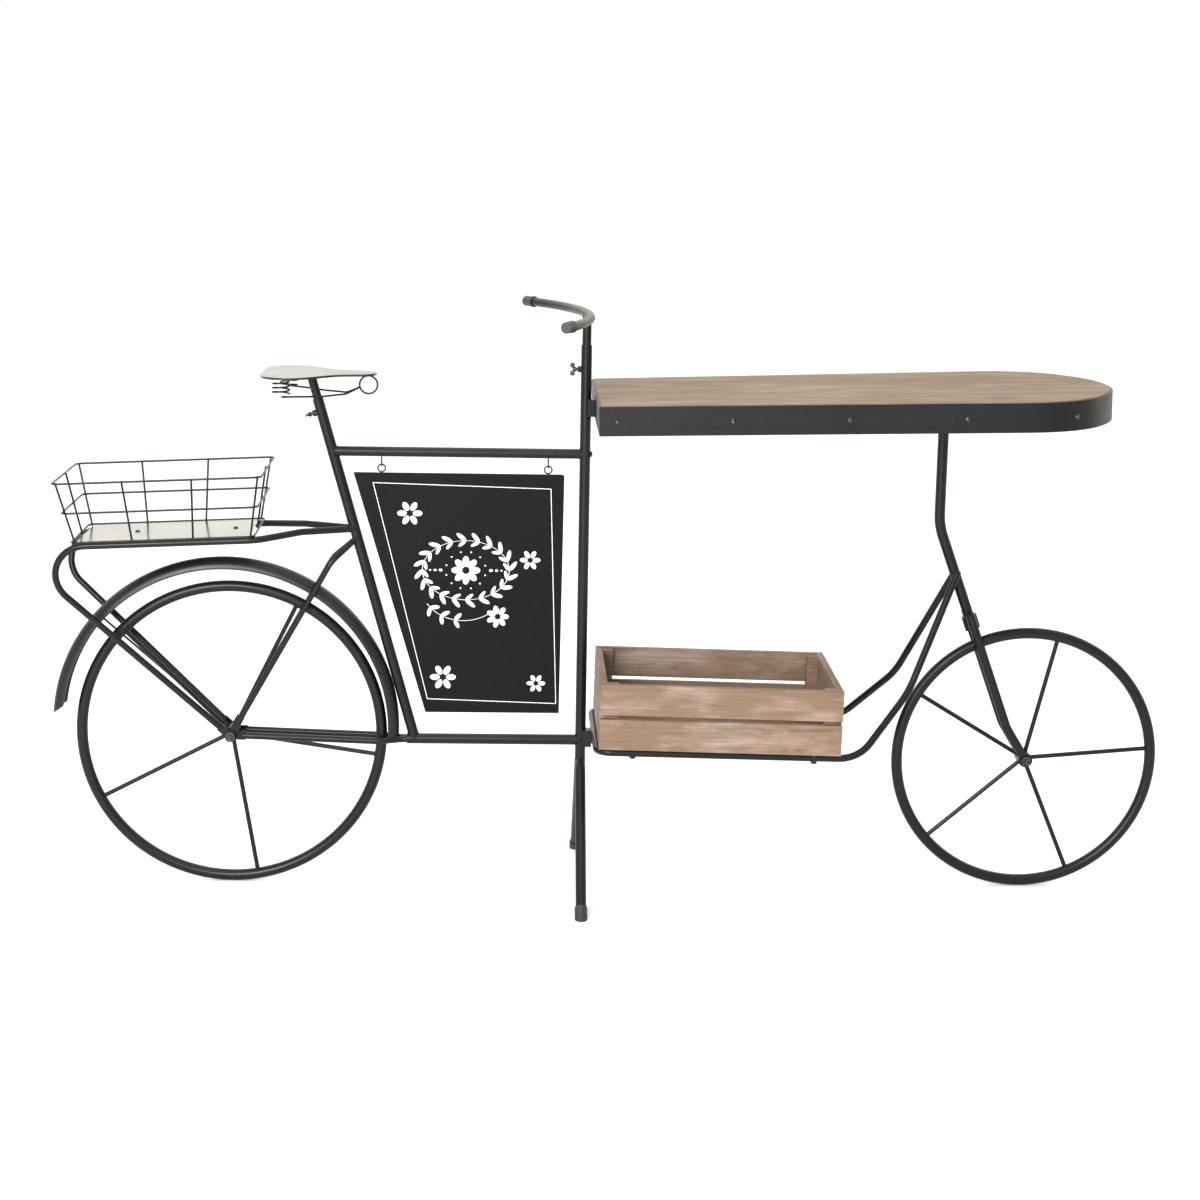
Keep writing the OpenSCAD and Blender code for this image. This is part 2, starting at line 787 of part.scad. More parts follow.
module seat_post() {
    bottom_z = seat_bore_from_z + 150;
    color(black) placed()
    difference() {
        rod(seat_at(bottom_z), seat_at(saddle_z + 10), seat_post_d);
        translate([0, -50, saddle_z - saddle_t - touch]) cube([300, 100, 50]);
        rod(seat_at(bottom_z - 1), seat_at(bottom_z + 30), guide_spigot_d + 2 * run_fit);
    }
}
guide_spigot_d = 9;

// Plastic guide under a sliding post: a collar in the bore and a spigot in the post's end
module guide(post_end) {
    translate([0, 0, -12 - side_gap]) cylinder(h = 12, d = tube_d - 2 * tube_wall - 2 * run_fit);
    translate([0, 0, -side_gap - 1]) cylinder(h = 24, d = guide_spigot_d);
}

module seat_guide() {
    color([0.3, 0.3, 0.3]) placed()
        translate(seat_at(seat_bore_from_z + 150)) rotate([0, -seat_tube_lean, 0]) guide();
}

function saddle_half_at(x) = x < 50
    ? saddle_half - 50 + 50 * sin(acos(1 - x / 50))
    : x < 153 ? 38 + (saddle_half - 38) * (1 + cos(180 * (x - 50) / 103)) / 2 : 38;

module saddle_plate() {
    side = [for (x = [0 : 5 : 150]) [x, saddle_half_at(x)]];
    nose = [for (a = [80 : -10 : -80]) [saddle_l - 34 + 34 * cos(a), 34 * sin(a)]];
    outline = concat(side, nose, [for (i = [len(side) - 1 : -1 : 0]) [side[i][0], -side[i][1]]]);
    color([0.8, 0.78, 0.74]) placed()
        translate([saddle_back_x, 0, saddle_z - saddle_t]) linear_extrude(height = saddle_t)
            polygon(outline);
}

module saddle_rails() {
    z_ring = saddle_z - saddle_t - touch - ring_r - saddle_wire_d / 2;
    rail_z = saddle_z - 36;
    color(black) placed() {
        translate([nose_ring_x, 0, z_ring]) rotate([90, 0, 0])
            rotate_extrude() translate([ring_r, 0]) circle(d = saddle_wire_d, $fn = 24);
        both_sides()
            bent_rod([[nose_ring_x - ring_r - 0.5, -1.2, z_ring - 5], [208, -14, rail_z - 1],
                    [168, -48, rail_z - 2], [spring_x + 30, -spring_y + 3, rail_z],
                    [spring_x + 2, -spring_y - spring_r + 3, rail_z + 1]], [25, 40, 40],
                saddle_wire_d);
    }
}

// One turning wire spring, as a swept wire of short straight pieces
module saddle_spring(h) {
    steps = 18;
    sides = 8;
    last = floor(spring_turns * steps);
    wire_r = saddle_wire_d / 2;
    points = [for (i = [0 : last], k = [0 : sides - 1])
        let (a = 360 * i / steps, t = 360 * k / sides,
            r = spring_r + wire_r * cos(t) + 1.2 * (1 - i / last))
        [r * cos(a), r * sin(a), wire_r + (h - 2 * wire_r) * i / last + wire_r * sin(t)]];
    walls = [for (i = [0 : last - 1], k = [0 : sides - 1])
        [i * sides + k, i * sides + (k + 1) % sides, (i + 1) * sides + (k + 1) % sides,
            (i + 1) * sides + k]];
    ends = [[for (k = [sides - 1 : -1 : 0]) k], [for (k = [0 : sides - 1]) last * sides + k]];
    polyhedron(points, concat(walls, ends), convexity = 6);
}

module saddle_springs() {
    base_z = saddle_z - 36 + saddle_wire_d / 2 + 1 + 0.3;
    h = saddle_z - saddle_t - touch - base_z;
    color(black) placed() both_sides()
        translate([spring_x, -spring_y, base_z]) saddle_spring(h);
}

// Wing screw, its tip at the origin and its axis along Z
module wing_screw(tip) {
    collar_z = tube_r + screw_boss_l + 2;
    wing_z = collar_z + 7;
    wing_reach = 7;
    wing_t = 2.4;
    union() {
        translate([0, 0, tip]) cylinder(h = wing_z - tip, d = screw_d);
        translate([0, 0, collar_z]) cylinder(h = 6, d = 8);
        for (s = [-1, 1])
            translate([s * wing_reach, 0, wing_z]) rotate([90, 0, 0])
                cylinder(h = wing_t, d = 9, center = true);
        translate([-wing_reach, -wing_t / 2, wing_z - 4]) cube([2 * wing_reach, wing_t, 4]);
    }
}

module seat_wing_screw() {
    color(black) placed()
        on_seat_tube(seat_screw_z) rotate([0, 0, 90]) wing_screw(seat_post_d / 2 + run_fit);
}

// ---------------------------------------------------------------- handlebar

bar_r = bar_half / sin(bar_sweep);
stem_d = tube_d - 2 * tube_wall - 2 * run_fit;
stem_bottom_z = 850;

// The handlebar's own frame: the post's axis at the bar's height, turned
module on_stem() {
    translate([post_x, 0, bar_z]) rotate([0, 0, bar_turn]) children();
}

module bar_solid(grow = 0) {
    translate([-bar_r, 0, 0]) rotate([0, 0, -bar_sweep])
        rotate_extrude(angle = 2 * bar_sweep, $fn = 96) translate([bar_r, 0])
            circle(d = bar_d + 2 * grow, $fn = 48);
}

module handlebar() { color(black) placed() on_stem() bar_solid(); }

module handlebar_stem() {
    color(black) placed()
    difference() {
        translate([post_x, 0, stem_bottom_z]) cylinder(h = bar_z - stem_bottom_z, d = stem_d);
        on_stem() bar_solid(touch);
        translate([post_x, 0, stem_bottom_z - 1])
            cylinder(h = 30, d = guide_spigot_d + 2 * run_fit);
    }
}

module stem_guide() {
    color([0.3, 0.3, 0.3]) placed() translate([post_x, 0, stem_bottom_z]) guide();
}

module handlebar_caps() {
    cap_l = 24;
    cap_wall = (bar_cap_d - bar_d) / 2;
    color([0.12, 0.12, 0.12]) placed() on_stem() both_sides()
        translate([-bar_r, 0, 0]) rotate([0, 0, -bar_sweep]) translate([bar_r, 0, 0])
            rotate([90, 0, 0])
                difference() {
                    union() {
                        translate([0, 0, -cap_l]) cylinder(h = cap_l + cap_wall, d = bar_cap_d - 1.5);
                        translate([0, 0, -cap_l]) cylinder(h = 4, d = bar_cap_d);
                        cylinder(h = cap_wall + 1, d = bar_cap_d - 3);
                    }
                    translate([-bar_r, 0, 0]) rotate([-90, 0, 0])
                        rotate_extrude(angle = 4, $fn = 96) translate([bar_r, 0])
                            circle(d = bar_d + 2 * touch, $fn = 48);
                }
}

module stem_wing_screw() {
    color(black) placed() on_post(stem_screw_z) wing_screw(stem_d / 2 + run_fit);
}

// ---------------------------------------------------------------- sign

sign_right_x = post_x - sign_post_gap;
sign_bottom_z = sign_top_z - sign_h;
eyelet_r = 6.7;
hook_wire_d = 2.6;
hook_xs = [sign_right_x - 325, sign_right_x - 29];
eyelet_z = sign_top_z + eyelet_r + hook_wire_d / 2;
hook_z = eyelet_z + eyelet_r;
hook_r = 3;

module sign_board() {
    corner_r = 5;
    color([0.17, 0.17, 0.17]) placed()
        translate([0, sign_t / 2, 0]) rotate([90, 0, 0]) linear_extrude(height = sign_t)
            difference() {
                polygon([[sign_right_x - sign_top_l, sign_top_z], [sign_right_x, sign_top_z],
                        [sign_right_x - 4, sign_bottom_z],
                        [sign_right_x - 4 - sign_bottom_l, sign_bottom_z]]);
                translate([sign_right_x - corner_r, sign_top_z - corner_r]) difference() {
                    square(corner_r + 1);
                    circle(r = corner_r);
                }
            }
}

module sign_eyelets() {
    color(black) placed()
        for (x = hook_xs) translate([x, 0, eyelet_z + touch]) rotate([90, 0, 0])
            rotate_extrude() translate([eyelet_r, 0]) circle(d = hook_wire_d, $fn = 24);
}

module hook_shanks(d) {
    for (x = hook_xs) translate([x, hook_r, hook_z]) cylinder(h = top_tube_z - hook_z, d = d);
}

module sign_hooks() {
    color(black) placed() {
        hook_shanks(hook_wire_d);
        for (x = hook_xs) translate([x, 0, hook_z]) rotate([0, 90, 0]) rotate([0, 0, -90])
            rotate_extrude(angle = 180) translate([hook_r, 0]) circle(d = hook_wire_d, $fn = 24);
    }
}

// ---------------------------------------------------------------- table

module on_table() {
    translate([table_x(), 0, table_z]) rotate([0, -table_rise, 0]) children();
}

// The table's outline, moved in by a distance: straight at the post, round at the other end
module table_outline(inset) {
    corner_r = table_corner_r - inset;
    corner_y = table_half_front - table_corner_r;
    corner_x = table_l - 182;
    nose_in = 125;
    nose_r = norm([nose_in, corner_y]) + corner_r;
    polygon([[inset, -(table_half_back - inset)], [corner_x, -(corner_y + corner_r)],
            [corner_x, corner_y + corner_r], [inset, table_half_back - inset]]);
    for (s = [-1, 1]) translate([corner_x, s * corner_y]) circle(r = corner_r, $fn = 96);
    intersection() {
        translate([corner_x - nose_in, 0]) circle(r = nose_r, $fn = 144);
        polygon([[corner_x - nose_in, 0], [corner_x - nose_in + 400, -400 * corner_y / nose_in],
                [corner_x - nose_in + 400, 400 * corner_y / nose_in]]);
    }
}

band_drop = 2;
band_gap = 0.3;
board_gap = 0.4;
bolt_xs = [30, 226, 423, 620];
bolt_arc_angle = 59;
bolt_drop = 28.2;
bracket_bolt_drop = 29;

// Every place on the band that holds a bolt, with z pointing out of the band
module at_band_bolts() {
    corner_y = table_half_front - table_corner_r;
    corner_x = table_l - 182;
    slope = atan((table_half_front - table_half_back) / corner_x);
    for (s = [-1, 1]) {
        for (x = bolt_xs)
            translate([x, s * (table_half_back + x * tan(slope)), -bolt_drop])
                rotate([-s * 90, 0, 0]) rotate([0, -slope, 0]) children();
        translate([corner_x + table_corner_r * cos(bolt_arc_angle),
                s * (corner_y + table_corner_r * sin(bolt_arc_angle)), -bolt_drop])
            rotate([0, 0, s * bolt_arc_angle]) rotate([0, 90, 0]) children();
    }
}

module table_planks() {
    width = 2 * table_half_front / plank_count;
    color(wood) placed() on_table()
    difference() {
        translate([0, 0, -plank_t]) for (i = [0 : plank_count - 1])
            linear_extrude(height = plank_t) intersection() {
                table_outline(band_t + band_gap);
                translate([-5, -table_half_front + i * width + board_gap / 2])
                    square([table_l + 10, width - board_gap]);
            }
    }
}

batten_xs = [90, 500];
batten_w = 60;
module table_battens() {
    t = 18;
    color(wood) placed() on_table()
        for (x = batten_xs)
            translate([x, -table_half_back + 20, -plank_t - t - touch])
                cube([batten_w, 2 * (table_half_back - 20), t]);
}

module table_band() {
    color(black) placed() on_table()
    difference() {
        translate([0, 0, -band_drop - band_h]) linear_extrude(height = band_h) difference() {
            table_outline(0);
            table_outline(band_t);
        }
        at_band_bolts() translate([0, 0, -10]) cylinder(h = 20, d = 6 + 2 * touch);
        translate([-10, 0, -bracket_bolt_drop]) rotate([0, 90, 0])
            cylinder(h = 20, d = 6 + 2 * touch);
    }
}

// A bolt head and nut clamp the band, below the planks
module band_bolts() {
    color(black) placed() on_table()
        at_band_bolts() {
            translate([0, 0, touch]) dome(11, 4);
            translate([0, 0, -10]) cylinder(h = 10 + 1, d = 6);
            translate([0, 0, -band_t - 5 - touch - 0.3]) hexagon(10, 5);
        }
}

// The bolt that holds the band to the bracket on the post
module at_bracket_bolt() {
    on_table() translate([0, 0, -bracket_bolt_drop]) rotate([0, 90, 0]) children();
}

module table_bracket() {
    h = 30;
    color(black) placed()
    difference() {
        translate([post_x + 4, -12, table_z - bracket_bolt_drop - h / 2])
            cube([table_x() - post_x, 24, h]);
        main_post_solid(touch);
        on_table() translate([-touch, -50, -100]) cube([60, 100, 100]);
        at_bracket_bolt() translate([0, 0, -8]) cylinder(h = 20, d = 6 + 2 * touch);
    }
}

module table_bracket_bolt() {
    color(black) placed() at_bracket_bolt() {
        translate([0, 0, band_t + touch]) hexagon(10, 5);
        translate([0, 0, -6.8]) cylinder(h = 6.8 + band_t + 1, d = 6);
    }
}

// ---------------------------------------------------------------- tray and crate

rail_drop = rail_d / 2 + touch;
rail_y = crate_half - rail_d / 2;
rail_end_x = -3;
tray_bolt_xs = [60, crate_l - 47];

module tray_rail() {
    low_end = tray(crate_l + 33, rail_y - 4, -rail_drop);
    difference() {
        bent_rod([[support_x + 36, -10, 592], [support_x - 56, -80, 385], near(low_end),
                near(tray(rail_end_x, rail_y, -rail_drop)),
                near(tray(rail_end_x, touch, -rail_drop))], [150, 72, 25], rail_d);
        front_support_solid(touch);
        tray_bolt_shanks(6 + 2 * touch);
        tray_bracket_solid(touch);
    }
}

module tray_rail_near() { color(black) placed() tray_rail(); }
module tray_rail_far() { color(black) placed() mirror([0, 1, 0]) tray_rail(); }

// A tab on the post that the tray's end is welded to
module tray_bracket_solid(grow = 0) {
    translate([post_x + 4, -11 - grow, bottom_tube_z - 11])
        cube([tube_r - 4 + bracket_t + grow, 22 + 2 * grow, 31]);
}

module tray_bracket() {
    color(black) placed()
    difference() {
        tray_bracket_solid();
        main_post_solid(touch);
        post_bolt_at(bottom_tube_z) translate([0, 0, -20]) cylinder(h = 60, d = 6 + 2 * touch);
    }
}

module on_tray() {
    translate([crate_x, 0, crate_z]) rotate([0, tray_fall, 0]) children();
}

module tray_bolt_shanks(d) {
    on_tray() for (x = tray_bolt_xs, s = [-1, 1])
        translate([x, s * rail_y, -rail_d - 1]) cylinder(h = rail_d + 14, d = d);
}

module tray_bolts() {
    color(black) placed() {
        on_tray() for (x = tray_bolt_xs, s = [-1, 1])
            translate([x, s * rail_y, -rail_d - touch - 0.3]) {
                rotate([180, 0, 0]) dome(12, 4);
                translate([0, 0, -1]) cylinder(h = rail_d + 12, d = 6);
            }
    }
}

plank_h = (crate_h - crate_gap) / 2;
cleat = 20;
module crate_sides() {
    color(wood) placed()
    difference() {
        on_tray() {
            for (s = [-1, 1], level = [0, 1])
                translate([0, s < 0 ? -crate_half : crate_half - crate_board_t,
                        level * (plank_h + crate_gap)])
                    cube([crate_l, crate_board_t, plank_h]);
            // Corner cleats stand inside, against both boards
            for (s = [-1, 1], x = [crate_board_t + touch, crate_l - crate_board_t - cleat - touch])
                translate([x, s < 0 ? -crate_half + crate_board_t : crate_half - crate_board_t - cleat,
                        0]) cube([cleat, cleat, crate_h - 2]);
        }
        tray_bolt_shanks(6 + 2 * touch);
    }
}

module crate_ends() {
    inner = crate_half - crate_board_t - touch;
    floor_board_t = 9;
    slat_w = 58;
    color(wood) placed() on_tray() {
        for (x = [0, crate_l - crate_board_t])
            translate([x, -inner, 0]) cube([crate_board_t, 2 * inner, crate_h]);
        // Floor slats lie between the ends
        for (i = [-1.5 : 1 : 1.5])
            translate([crate_board_t + touch, i * (slat_w + 6) - slat_w / 2, 0])
                cube([crate_l - 2 * (crate_board_t + touch), slat_w, floor_board_t]);
    }
}

seat_tube();
top_tube();
bottom_tube();
main_post();
post_bolts();
chain_stays();
seat_stays();
rack_tube_near();
rack_tube_far();
rack_straps();
mudguard();
mudguard_stays();
rear_axle();
rear_axle_nuts();
rear_ring();
rear_spokes();
rear_hub_part();  // rear_hub
front_ring();
front_spokes();
front_hub();
front_axle();
front_axle_nuts();
front_support();
support_plate();
fork_crown();
fork_blades();
stand_legs();
foot_caps();
basket_rim();
basket_middle_wire();
basket_base_wire();
basket_uprights();
basket_floor();
basket_screws();
seat_post();
seat_guide();
saddle_plate();
saddle_rails();
saddle_springs();
seat_wing_screw();
handlebar_stem();
stem_guide();
handlebar();
handlebar_caps();
stem_wing_screw();
sign_board();
sign_eyelets();
sign_hooks();
table_planks();
table_battens();
table_band();
band_bolts();
table_bracket();
table_bracket_bolt();
tray_rail_near();
tray_rail_far();
tray_bracket();
tray_bolts();
crate_sides();
crate_ends();
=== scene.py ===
"""Gives a bicycle-shaped display table its looks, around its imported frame."""

import json
import math
import random

import bmesh
import bpy
from bpy.props import FloatProperty, FloatVectorProperty, IntProperty, PointerProperty
from mathutils import Matrix, Vector
from mathutils.bvhtree import BVHTree


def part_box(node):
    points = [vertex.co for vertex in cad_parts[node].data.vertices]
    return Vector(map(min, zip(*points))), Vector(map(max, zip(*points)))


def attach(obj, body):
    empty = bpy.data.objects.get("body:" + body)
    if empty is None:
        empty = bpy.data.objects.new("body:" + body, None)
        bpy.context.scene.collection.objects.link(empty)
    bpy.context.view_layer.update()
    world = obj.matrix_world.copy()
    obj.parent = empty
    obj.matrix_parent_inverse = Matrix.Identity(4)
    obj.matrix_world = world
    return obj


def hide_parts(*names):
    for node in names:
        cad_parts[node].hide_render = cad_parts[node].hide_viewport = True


bl_info = {
    "name": "Bicycle Display Table",
    "version": (1, 0, 0),
    "blender": (4, 5, 0),
    "location": "View3D > Sidebar > Display Table",
    "description": "Coats, boards, bolts and dresses a bicycle-shaped display table",
    "category": "Object",
}

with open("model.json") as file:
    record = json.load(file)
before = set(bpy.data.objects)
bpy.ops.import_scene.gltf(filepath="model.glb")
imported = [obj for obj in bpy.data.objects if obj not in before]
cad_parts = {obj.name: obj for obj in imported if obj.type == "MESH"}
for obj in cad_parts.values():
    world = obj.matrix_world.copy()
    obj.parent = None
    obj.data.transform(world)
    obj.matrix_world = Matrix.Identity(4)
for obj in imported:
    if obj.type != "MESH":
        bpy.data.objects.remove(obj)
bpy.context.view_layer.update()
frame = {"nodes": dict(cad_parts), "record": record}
NODES = frame["nodes"]
BODIES = frame["record"]["behaviour"]["bodies"]
BODY_OF = {node: body for body, nodes in BODIES.items() for node in nodes}
SLOT_OF = {s["node"]: s["material_slot"] for s in frame["record"]["subparts"]}
MM = 0.001

# Copies of the frame's pieces
MERGE_GAP = 0.01 * MM            # points closer than this are one point
FLAT_ANGLE = math.radians(0.6)   # faces that meet flatter than this are one face
EASED_ANGLE = math.radians(35)   # edges sharper than this are eased
COAT_SMOOTH = 40                 # degrees; edges flatter than this are shaded smooth
BOARD_SMOOTH = 30

# Weld beads
SEAM_REACH = 0.3 * MM            # a cut end this near a wall is welded to it
SEAM_SEARCH = 5 * MM             # how far a wall is looked for
RIM_ANGLE = math.radians(28)     # least fold of a cut end's edge
RIM_POINTS = 8                   # fewest points of a cut end
BORE_OFFSET = 4 * MM             # how far a bore's middle may be from its tube's
BEAD_STEP = 0.5                  # from point to point, as a share of a bead's thickness
BEAD_POINTS = 16                 # fewest points along a bead
RIPPLE_POINTS = 4                # points from one ripple to the next
BEAD_WAIST, RIPPLE, UNEVEN = 0.92, 0.16, 0.06    # shares of a bead's radius

# Tone and place of each board's grain: seed of the draws, and the furthest shift in metres
BOARD_SEEDS = {"table_planks": 11, "table_battens": 12, "crate_sides": 21, "crate_ends": 22}
GRAIN_SHIFT = 20

# The sign's print: shares of a blossom's radius, points of an oval, a stem's line in
# metres and its steps for each radian
PETAL_PLACE, PETAL_LENGTH, PETAL_WIDTH = 0.62, 0.76, 0.46
OVAL_POINTS = 20
STEM_LINE, STEM_STEPS = 1.1 * MM, 16

# Repeats of the wood's patterns for each metre along, across and through a board
WOOD_DRIFT = (2.2, 9, 9)
WOOD_RINGS = (0.5, 14, 14)
WOOD_STREAKS = (6, 210, 210)
WOOD_PORES = (24, 800, 800)
WOOD_LIME = (7, 22, 22)
WOOD_BRUSHED = (9, 420, 420)
WOOD_KNOTS = (3.4, 11, 11)

# Finishes of coated pieces: the setting with the colour, roughness, weight of the clear
# coat, strength of the ripples and the refraction that sets the gloss
COATS = {
    "sign_black": ("coat_colour", 0.45, 0.0, 0.02, 1.2),
    "sheet_gloss": ("coat_colour", 0.3, 0.75, 0.006, 1.42),
    "sheet_black": ("coat_colour", 0.3, 1.0, 0.006, 1.5),
    "mudguard_black": ("coat_colour", 0.36, 0.0, 0.05, 1.4),
    "band_black": ("band_colour", 0.4, 0.0, 0.03, 1.32),
}
TUBE_RIPPLES, TUBE_GLOSS = 0.12, 1.33
COAT_VARNISH = 0.16              # roughness of the clear coat
DUST = (0.30, 0.28, 0.25)

# Rubber and plastic: tint, roughness and moulded cells for each metre
MOULDED = {
    "foot_rubber": (0.014, 0.6, 900),
    "grip_plastic": (0.018, 0.45, 1400),
    "guide_plastic": (0.018, 0.45, 1400),
}
# Boards: the setting with the main colour, and how strongly they are lime-washed
BOARDS = {"table_wood": ("grey", 0.6), "crate_wood": ("warm", 1.0)}


# ------------------------------------------------------------------ what a user can change


class MetalFinish(bpy.types.PropertyGroup):
    """Colours and gloss of the coated metal"""

    coat_colour: FloatVectorProperty(
        name="Coat colour", description="Black of the coated tubes", subtype="COLOR",
        size=3, min=0, max=1, default=(0.0028, 0.0028, 0.0027))
    coat_roughness: FloatProperty(
        name="Coat roughness", description="How matt the coat is", min=0, max=1, default=0.32)
    band_colour: FloatVectorProperty(
        name="Band colour", description="Grey black of the table's band", subtype="COLOR",
        size=3, min=0, max=1, default=(0.0035, 0.0035, 0.0037))
    peel_size: FloatProperty(
        name="Coat texture size", description="Width of the coat's fine ripples",
        subtype="DISTANCE", min=0.0005, max=0.02, default=0.003)


class WoodFinish(bpy.types.PropertyGroup):
    """Colours and grain of the boards"""

    pale: FloatVectorProperty(
        name="Pale grain", description="Bleached part of the grain", subtype="COLOR",
        size=3, min=0, max=1, default=(0.225, 0.178, 0.145))
    warm: FloatVectorProperty(
        name="Warm grain", description="Main colour of the crate's boards", subtype="COLOR",
        size=3, min=0, max=1, default=(0.160, 0.093, 0.053))
    grey: FloatVectorProperty(
        name="Weathered grain", description="Grey that weather gave the table's boards",
        subtype="COLOR", size=3, min=0, max=1, default=(0.150, 0.097, 0.059))
    dark: FloatVectorProperty(
        name="Dark grain", description="Colour of knots and pores", subtype="COLOR",
        size=3, min=0, max=1, default=(0.045, 0.029, 0.019))
    edge_round: FloatProperty(
        name="Board edge", description="Radius of a board's eased edges",
        subtype="DISTANCE", min=0.0003, max=0.004, default=0.0012)


class TrimSizes(bpy.types.PropertyGroup):
    """Sizes of the small added pieces"""

    bead: FloatProperty(
        name="Weld bead", description="Thickness of a weld bead", subtype="DISTANCE",
        min=0.0005, max=0.004, default=0.0021)
    hardware_round: FloatProperty(
        name="Hardware edge", description="Radius on nuts, bolts and plates",
        subtype="DISTANCE", min=0.0001, max=0.002, default=0.0005)
    print_proud: FloatProperty(
        name="Print thickness", description="Thickness of the sign's printed ornament",
        subtype="DISTANCE", min=0.00005, max=0.001, default=0.00025)
    petals: IntProperty(
        name="Petals", description="Petals of a printed flower", min=3, max=12, default=6)


class StudioSetup(bpy.types.PropertyGroup):
    """Light and camera"""

    sky_strength: FloatProperty(
        name="Surround light", description="Strength of the pale surround",
        min=0, max=5, default=1.0)
    key_watts: FloatProperty(
        name="Overhead light", description="Power of the overhead soft light",
        min=0, max=2000, default=40)
    front_watts: FloatProperty(
        name="Front light", description="Power of the soft light in front",
        min=0, max=2000, default=325)
    rear_wall: FloatVectorProperty(
        name="Rear wall",
        description="Warm light from high behind the table, in the sheets' gloss",
        size=3, min=0, max=4, default=(1.75, 1.68, 1.48))
    lens: FloatProperty(
        name="Lens", description="Focal length in millimetres on a 36 mm sensor",
        min=20, max=200, default=72.96)
    floor_colour: FloatVectorProperty(
        name="Floor colour", description="Pale floor", subtype="COLOR",
        size=3, min=0, max=1, default=(0.95, 0.95, 0.945))


# ------------------------------------------------------------------ node helpers


def join(tree, value, socket):
    """Sets a socket to a value, or links it to another socket."""
    if isinstance(value, bpy.types.NodeSocket):
        tree.links.new(value, socket)
    else:
        socket.default_value = value


def add(tree, kind, inputs=None, **settings):
    """A shader node with its settings, and with its inputs given as values or as other sockets."""
    made = tree.nodes.new(kind)
    for name, value in settings.items():
        setattr(made, name, value)
    for name, value in (inputs or {}).items():
        join(tree, value, made.inputs[name])
    return made


def new_material(name):
    """An empty node material with its shader and output."""
    made = bpy.data.materials.new(name)
    made.use_nodes = True
    tree = made.node_tree
    tree.nodes.clear()
    shader = add(tree, "ShaderNodeBsdfPrincipled")
    output = add(tree, "ShaderNodeOutputMaterial")
    tree.links.new(shader.outputs["BSDF"], output.inputs["Surface"])
    return made, tree, shader


def spread(tree, value, low, high, start=0.3, end=0.7):
    """Maps a noise value to a range."""
    return add(tree, "ShaderNodeMapRange",
               {"Value": value, "From Min": start, "From Max": end,
                "To Min": low, "To Max": high}).outputs["Result"]


def product(tree, first, second):
    """Two values multiplied."""
    return add(tree, "ShaderNodeMath", {0: first, 1: second}, operation="MULTIPLY").outputs["Value"]


def noise(tree, where, scale, detail=4.0, roughness=0.5, distortion=0.0):
    """A noise value over given coordinates."""
    return add(tree, "ShaderNodeTexNoise",
               {"Vector": where, "Scale": scale, "Detail": detail, "Roughness": roughness,
                "Distortion": distortion}).outputs["Fac"]


def stretched(tree, where, scale):
    """Coordinates scaled differently along each axis."""
    return add(tree, "ShaderNodeMapping", {"Vector": where, "Scale": scale}).outputs["Vector"]


def blended(tree, share, first, second):
    """One colour over another by a share."""
    made = add(tree, "ShaderNodeMix", data_type="RGBA")
    for place, value in ((0, share), (6, first), (7, second)):
        join(tree, value, made.inputs[place])
    return made.outputs[2]


def embossed(tree, shader, height, strength, distance):
    """Gives a shader the relief of a height."""
    relief = add(tree, "ShaderNodeBump",
                 {"Height": height, "Strength": strength, "Distance": distance})
    tree.links.new(relief.outputs["Normal"], shader.inputs["Normal"])


def colour(values, factor=1.0):
    """A shader colour from three numbers."""
    return (*[v * factor for v in values], 1.0)


# ------------------------------------------------------------------ finishes


def coated_metal(name, tint, roughness, peel, coat=0.0, ripple=TUBE_RIPPLES, gloss=TUBE_GLOSS):
    """Powder-coated metal: fine ripples, uneven gloss and faint settled dust."""
    made, tree, shader = new_material(name)
    where = add(tree, "ShaderNodeTexCoord").outputs["Object"]
    ripples = noise(tree, where, 1 / peel, detail=3)
    smears = noise(tree, where, 9, detail=5, roughness=0.6)
    flecks = noise(tree, where, 140, detail=2)
    facing = add(tree, "ShaderNodeSeparateXYZ",
                 {"Vector": add(tree, "ShaderNodeNewGeometry").outputs["Normal"]}).outputs["Z"]
    dusty = product(tree, spread(tree, facing, 0, 0.05, 0.2, 1.0), spread(tree, smears, 0.2, 1))
    worn = blended(tree, spread(tree, flecks, 0, 1, 0.35, 0.65),
                   colour(tint, 0.85), colour(tint, 1.25))
    base = blended(tree, dusty, worn, colour(DUST))
    tree.links.new(base, shader.inputs["Base Color"])
    tree.links.new(spread(tree, smears, roughness * 0.85, roughness * 1.2),
                   shader.inputs["Roughness"])
    shader.inputs["IOR"].default_value = gloss
    shader.inputs["Coat Weight"].default_value = coat
    shader.inputs["Coat Roughness"].default_value = COAT_VARNISH
    embossed(tree, shader, ripples, ripple, 0.4 * MM)
    return made


def black_fastener(name):
    """Blackened steel of nuts, bolts and screws, rubbed brighter in places."""
    made, tree, shader = new_material(name)
    where = add(tree, "ShaderNodeTexCoord").outputs["Object"]
    rubbed = noise(tree, where, 260, detail=4, roughness=0.6)
    base = blended(tree, spread(tree, rubbed, 0, 1, 0.45, 0.75),
                   colour((0.015,) * 3), colour((0.12, 0.12, 0.115)))
    tree.links.new(base, shader.inputs["Base Color"])
    shader.inputs["Metallic"].default_value = 0.55
    tree.links.new(spread(tree, rubbed, 0.28, 0.5), shader.inputs["Roughness"])
    embossed(tree, shader, rubbed, 0.15, 0.3 * MM)
    return made


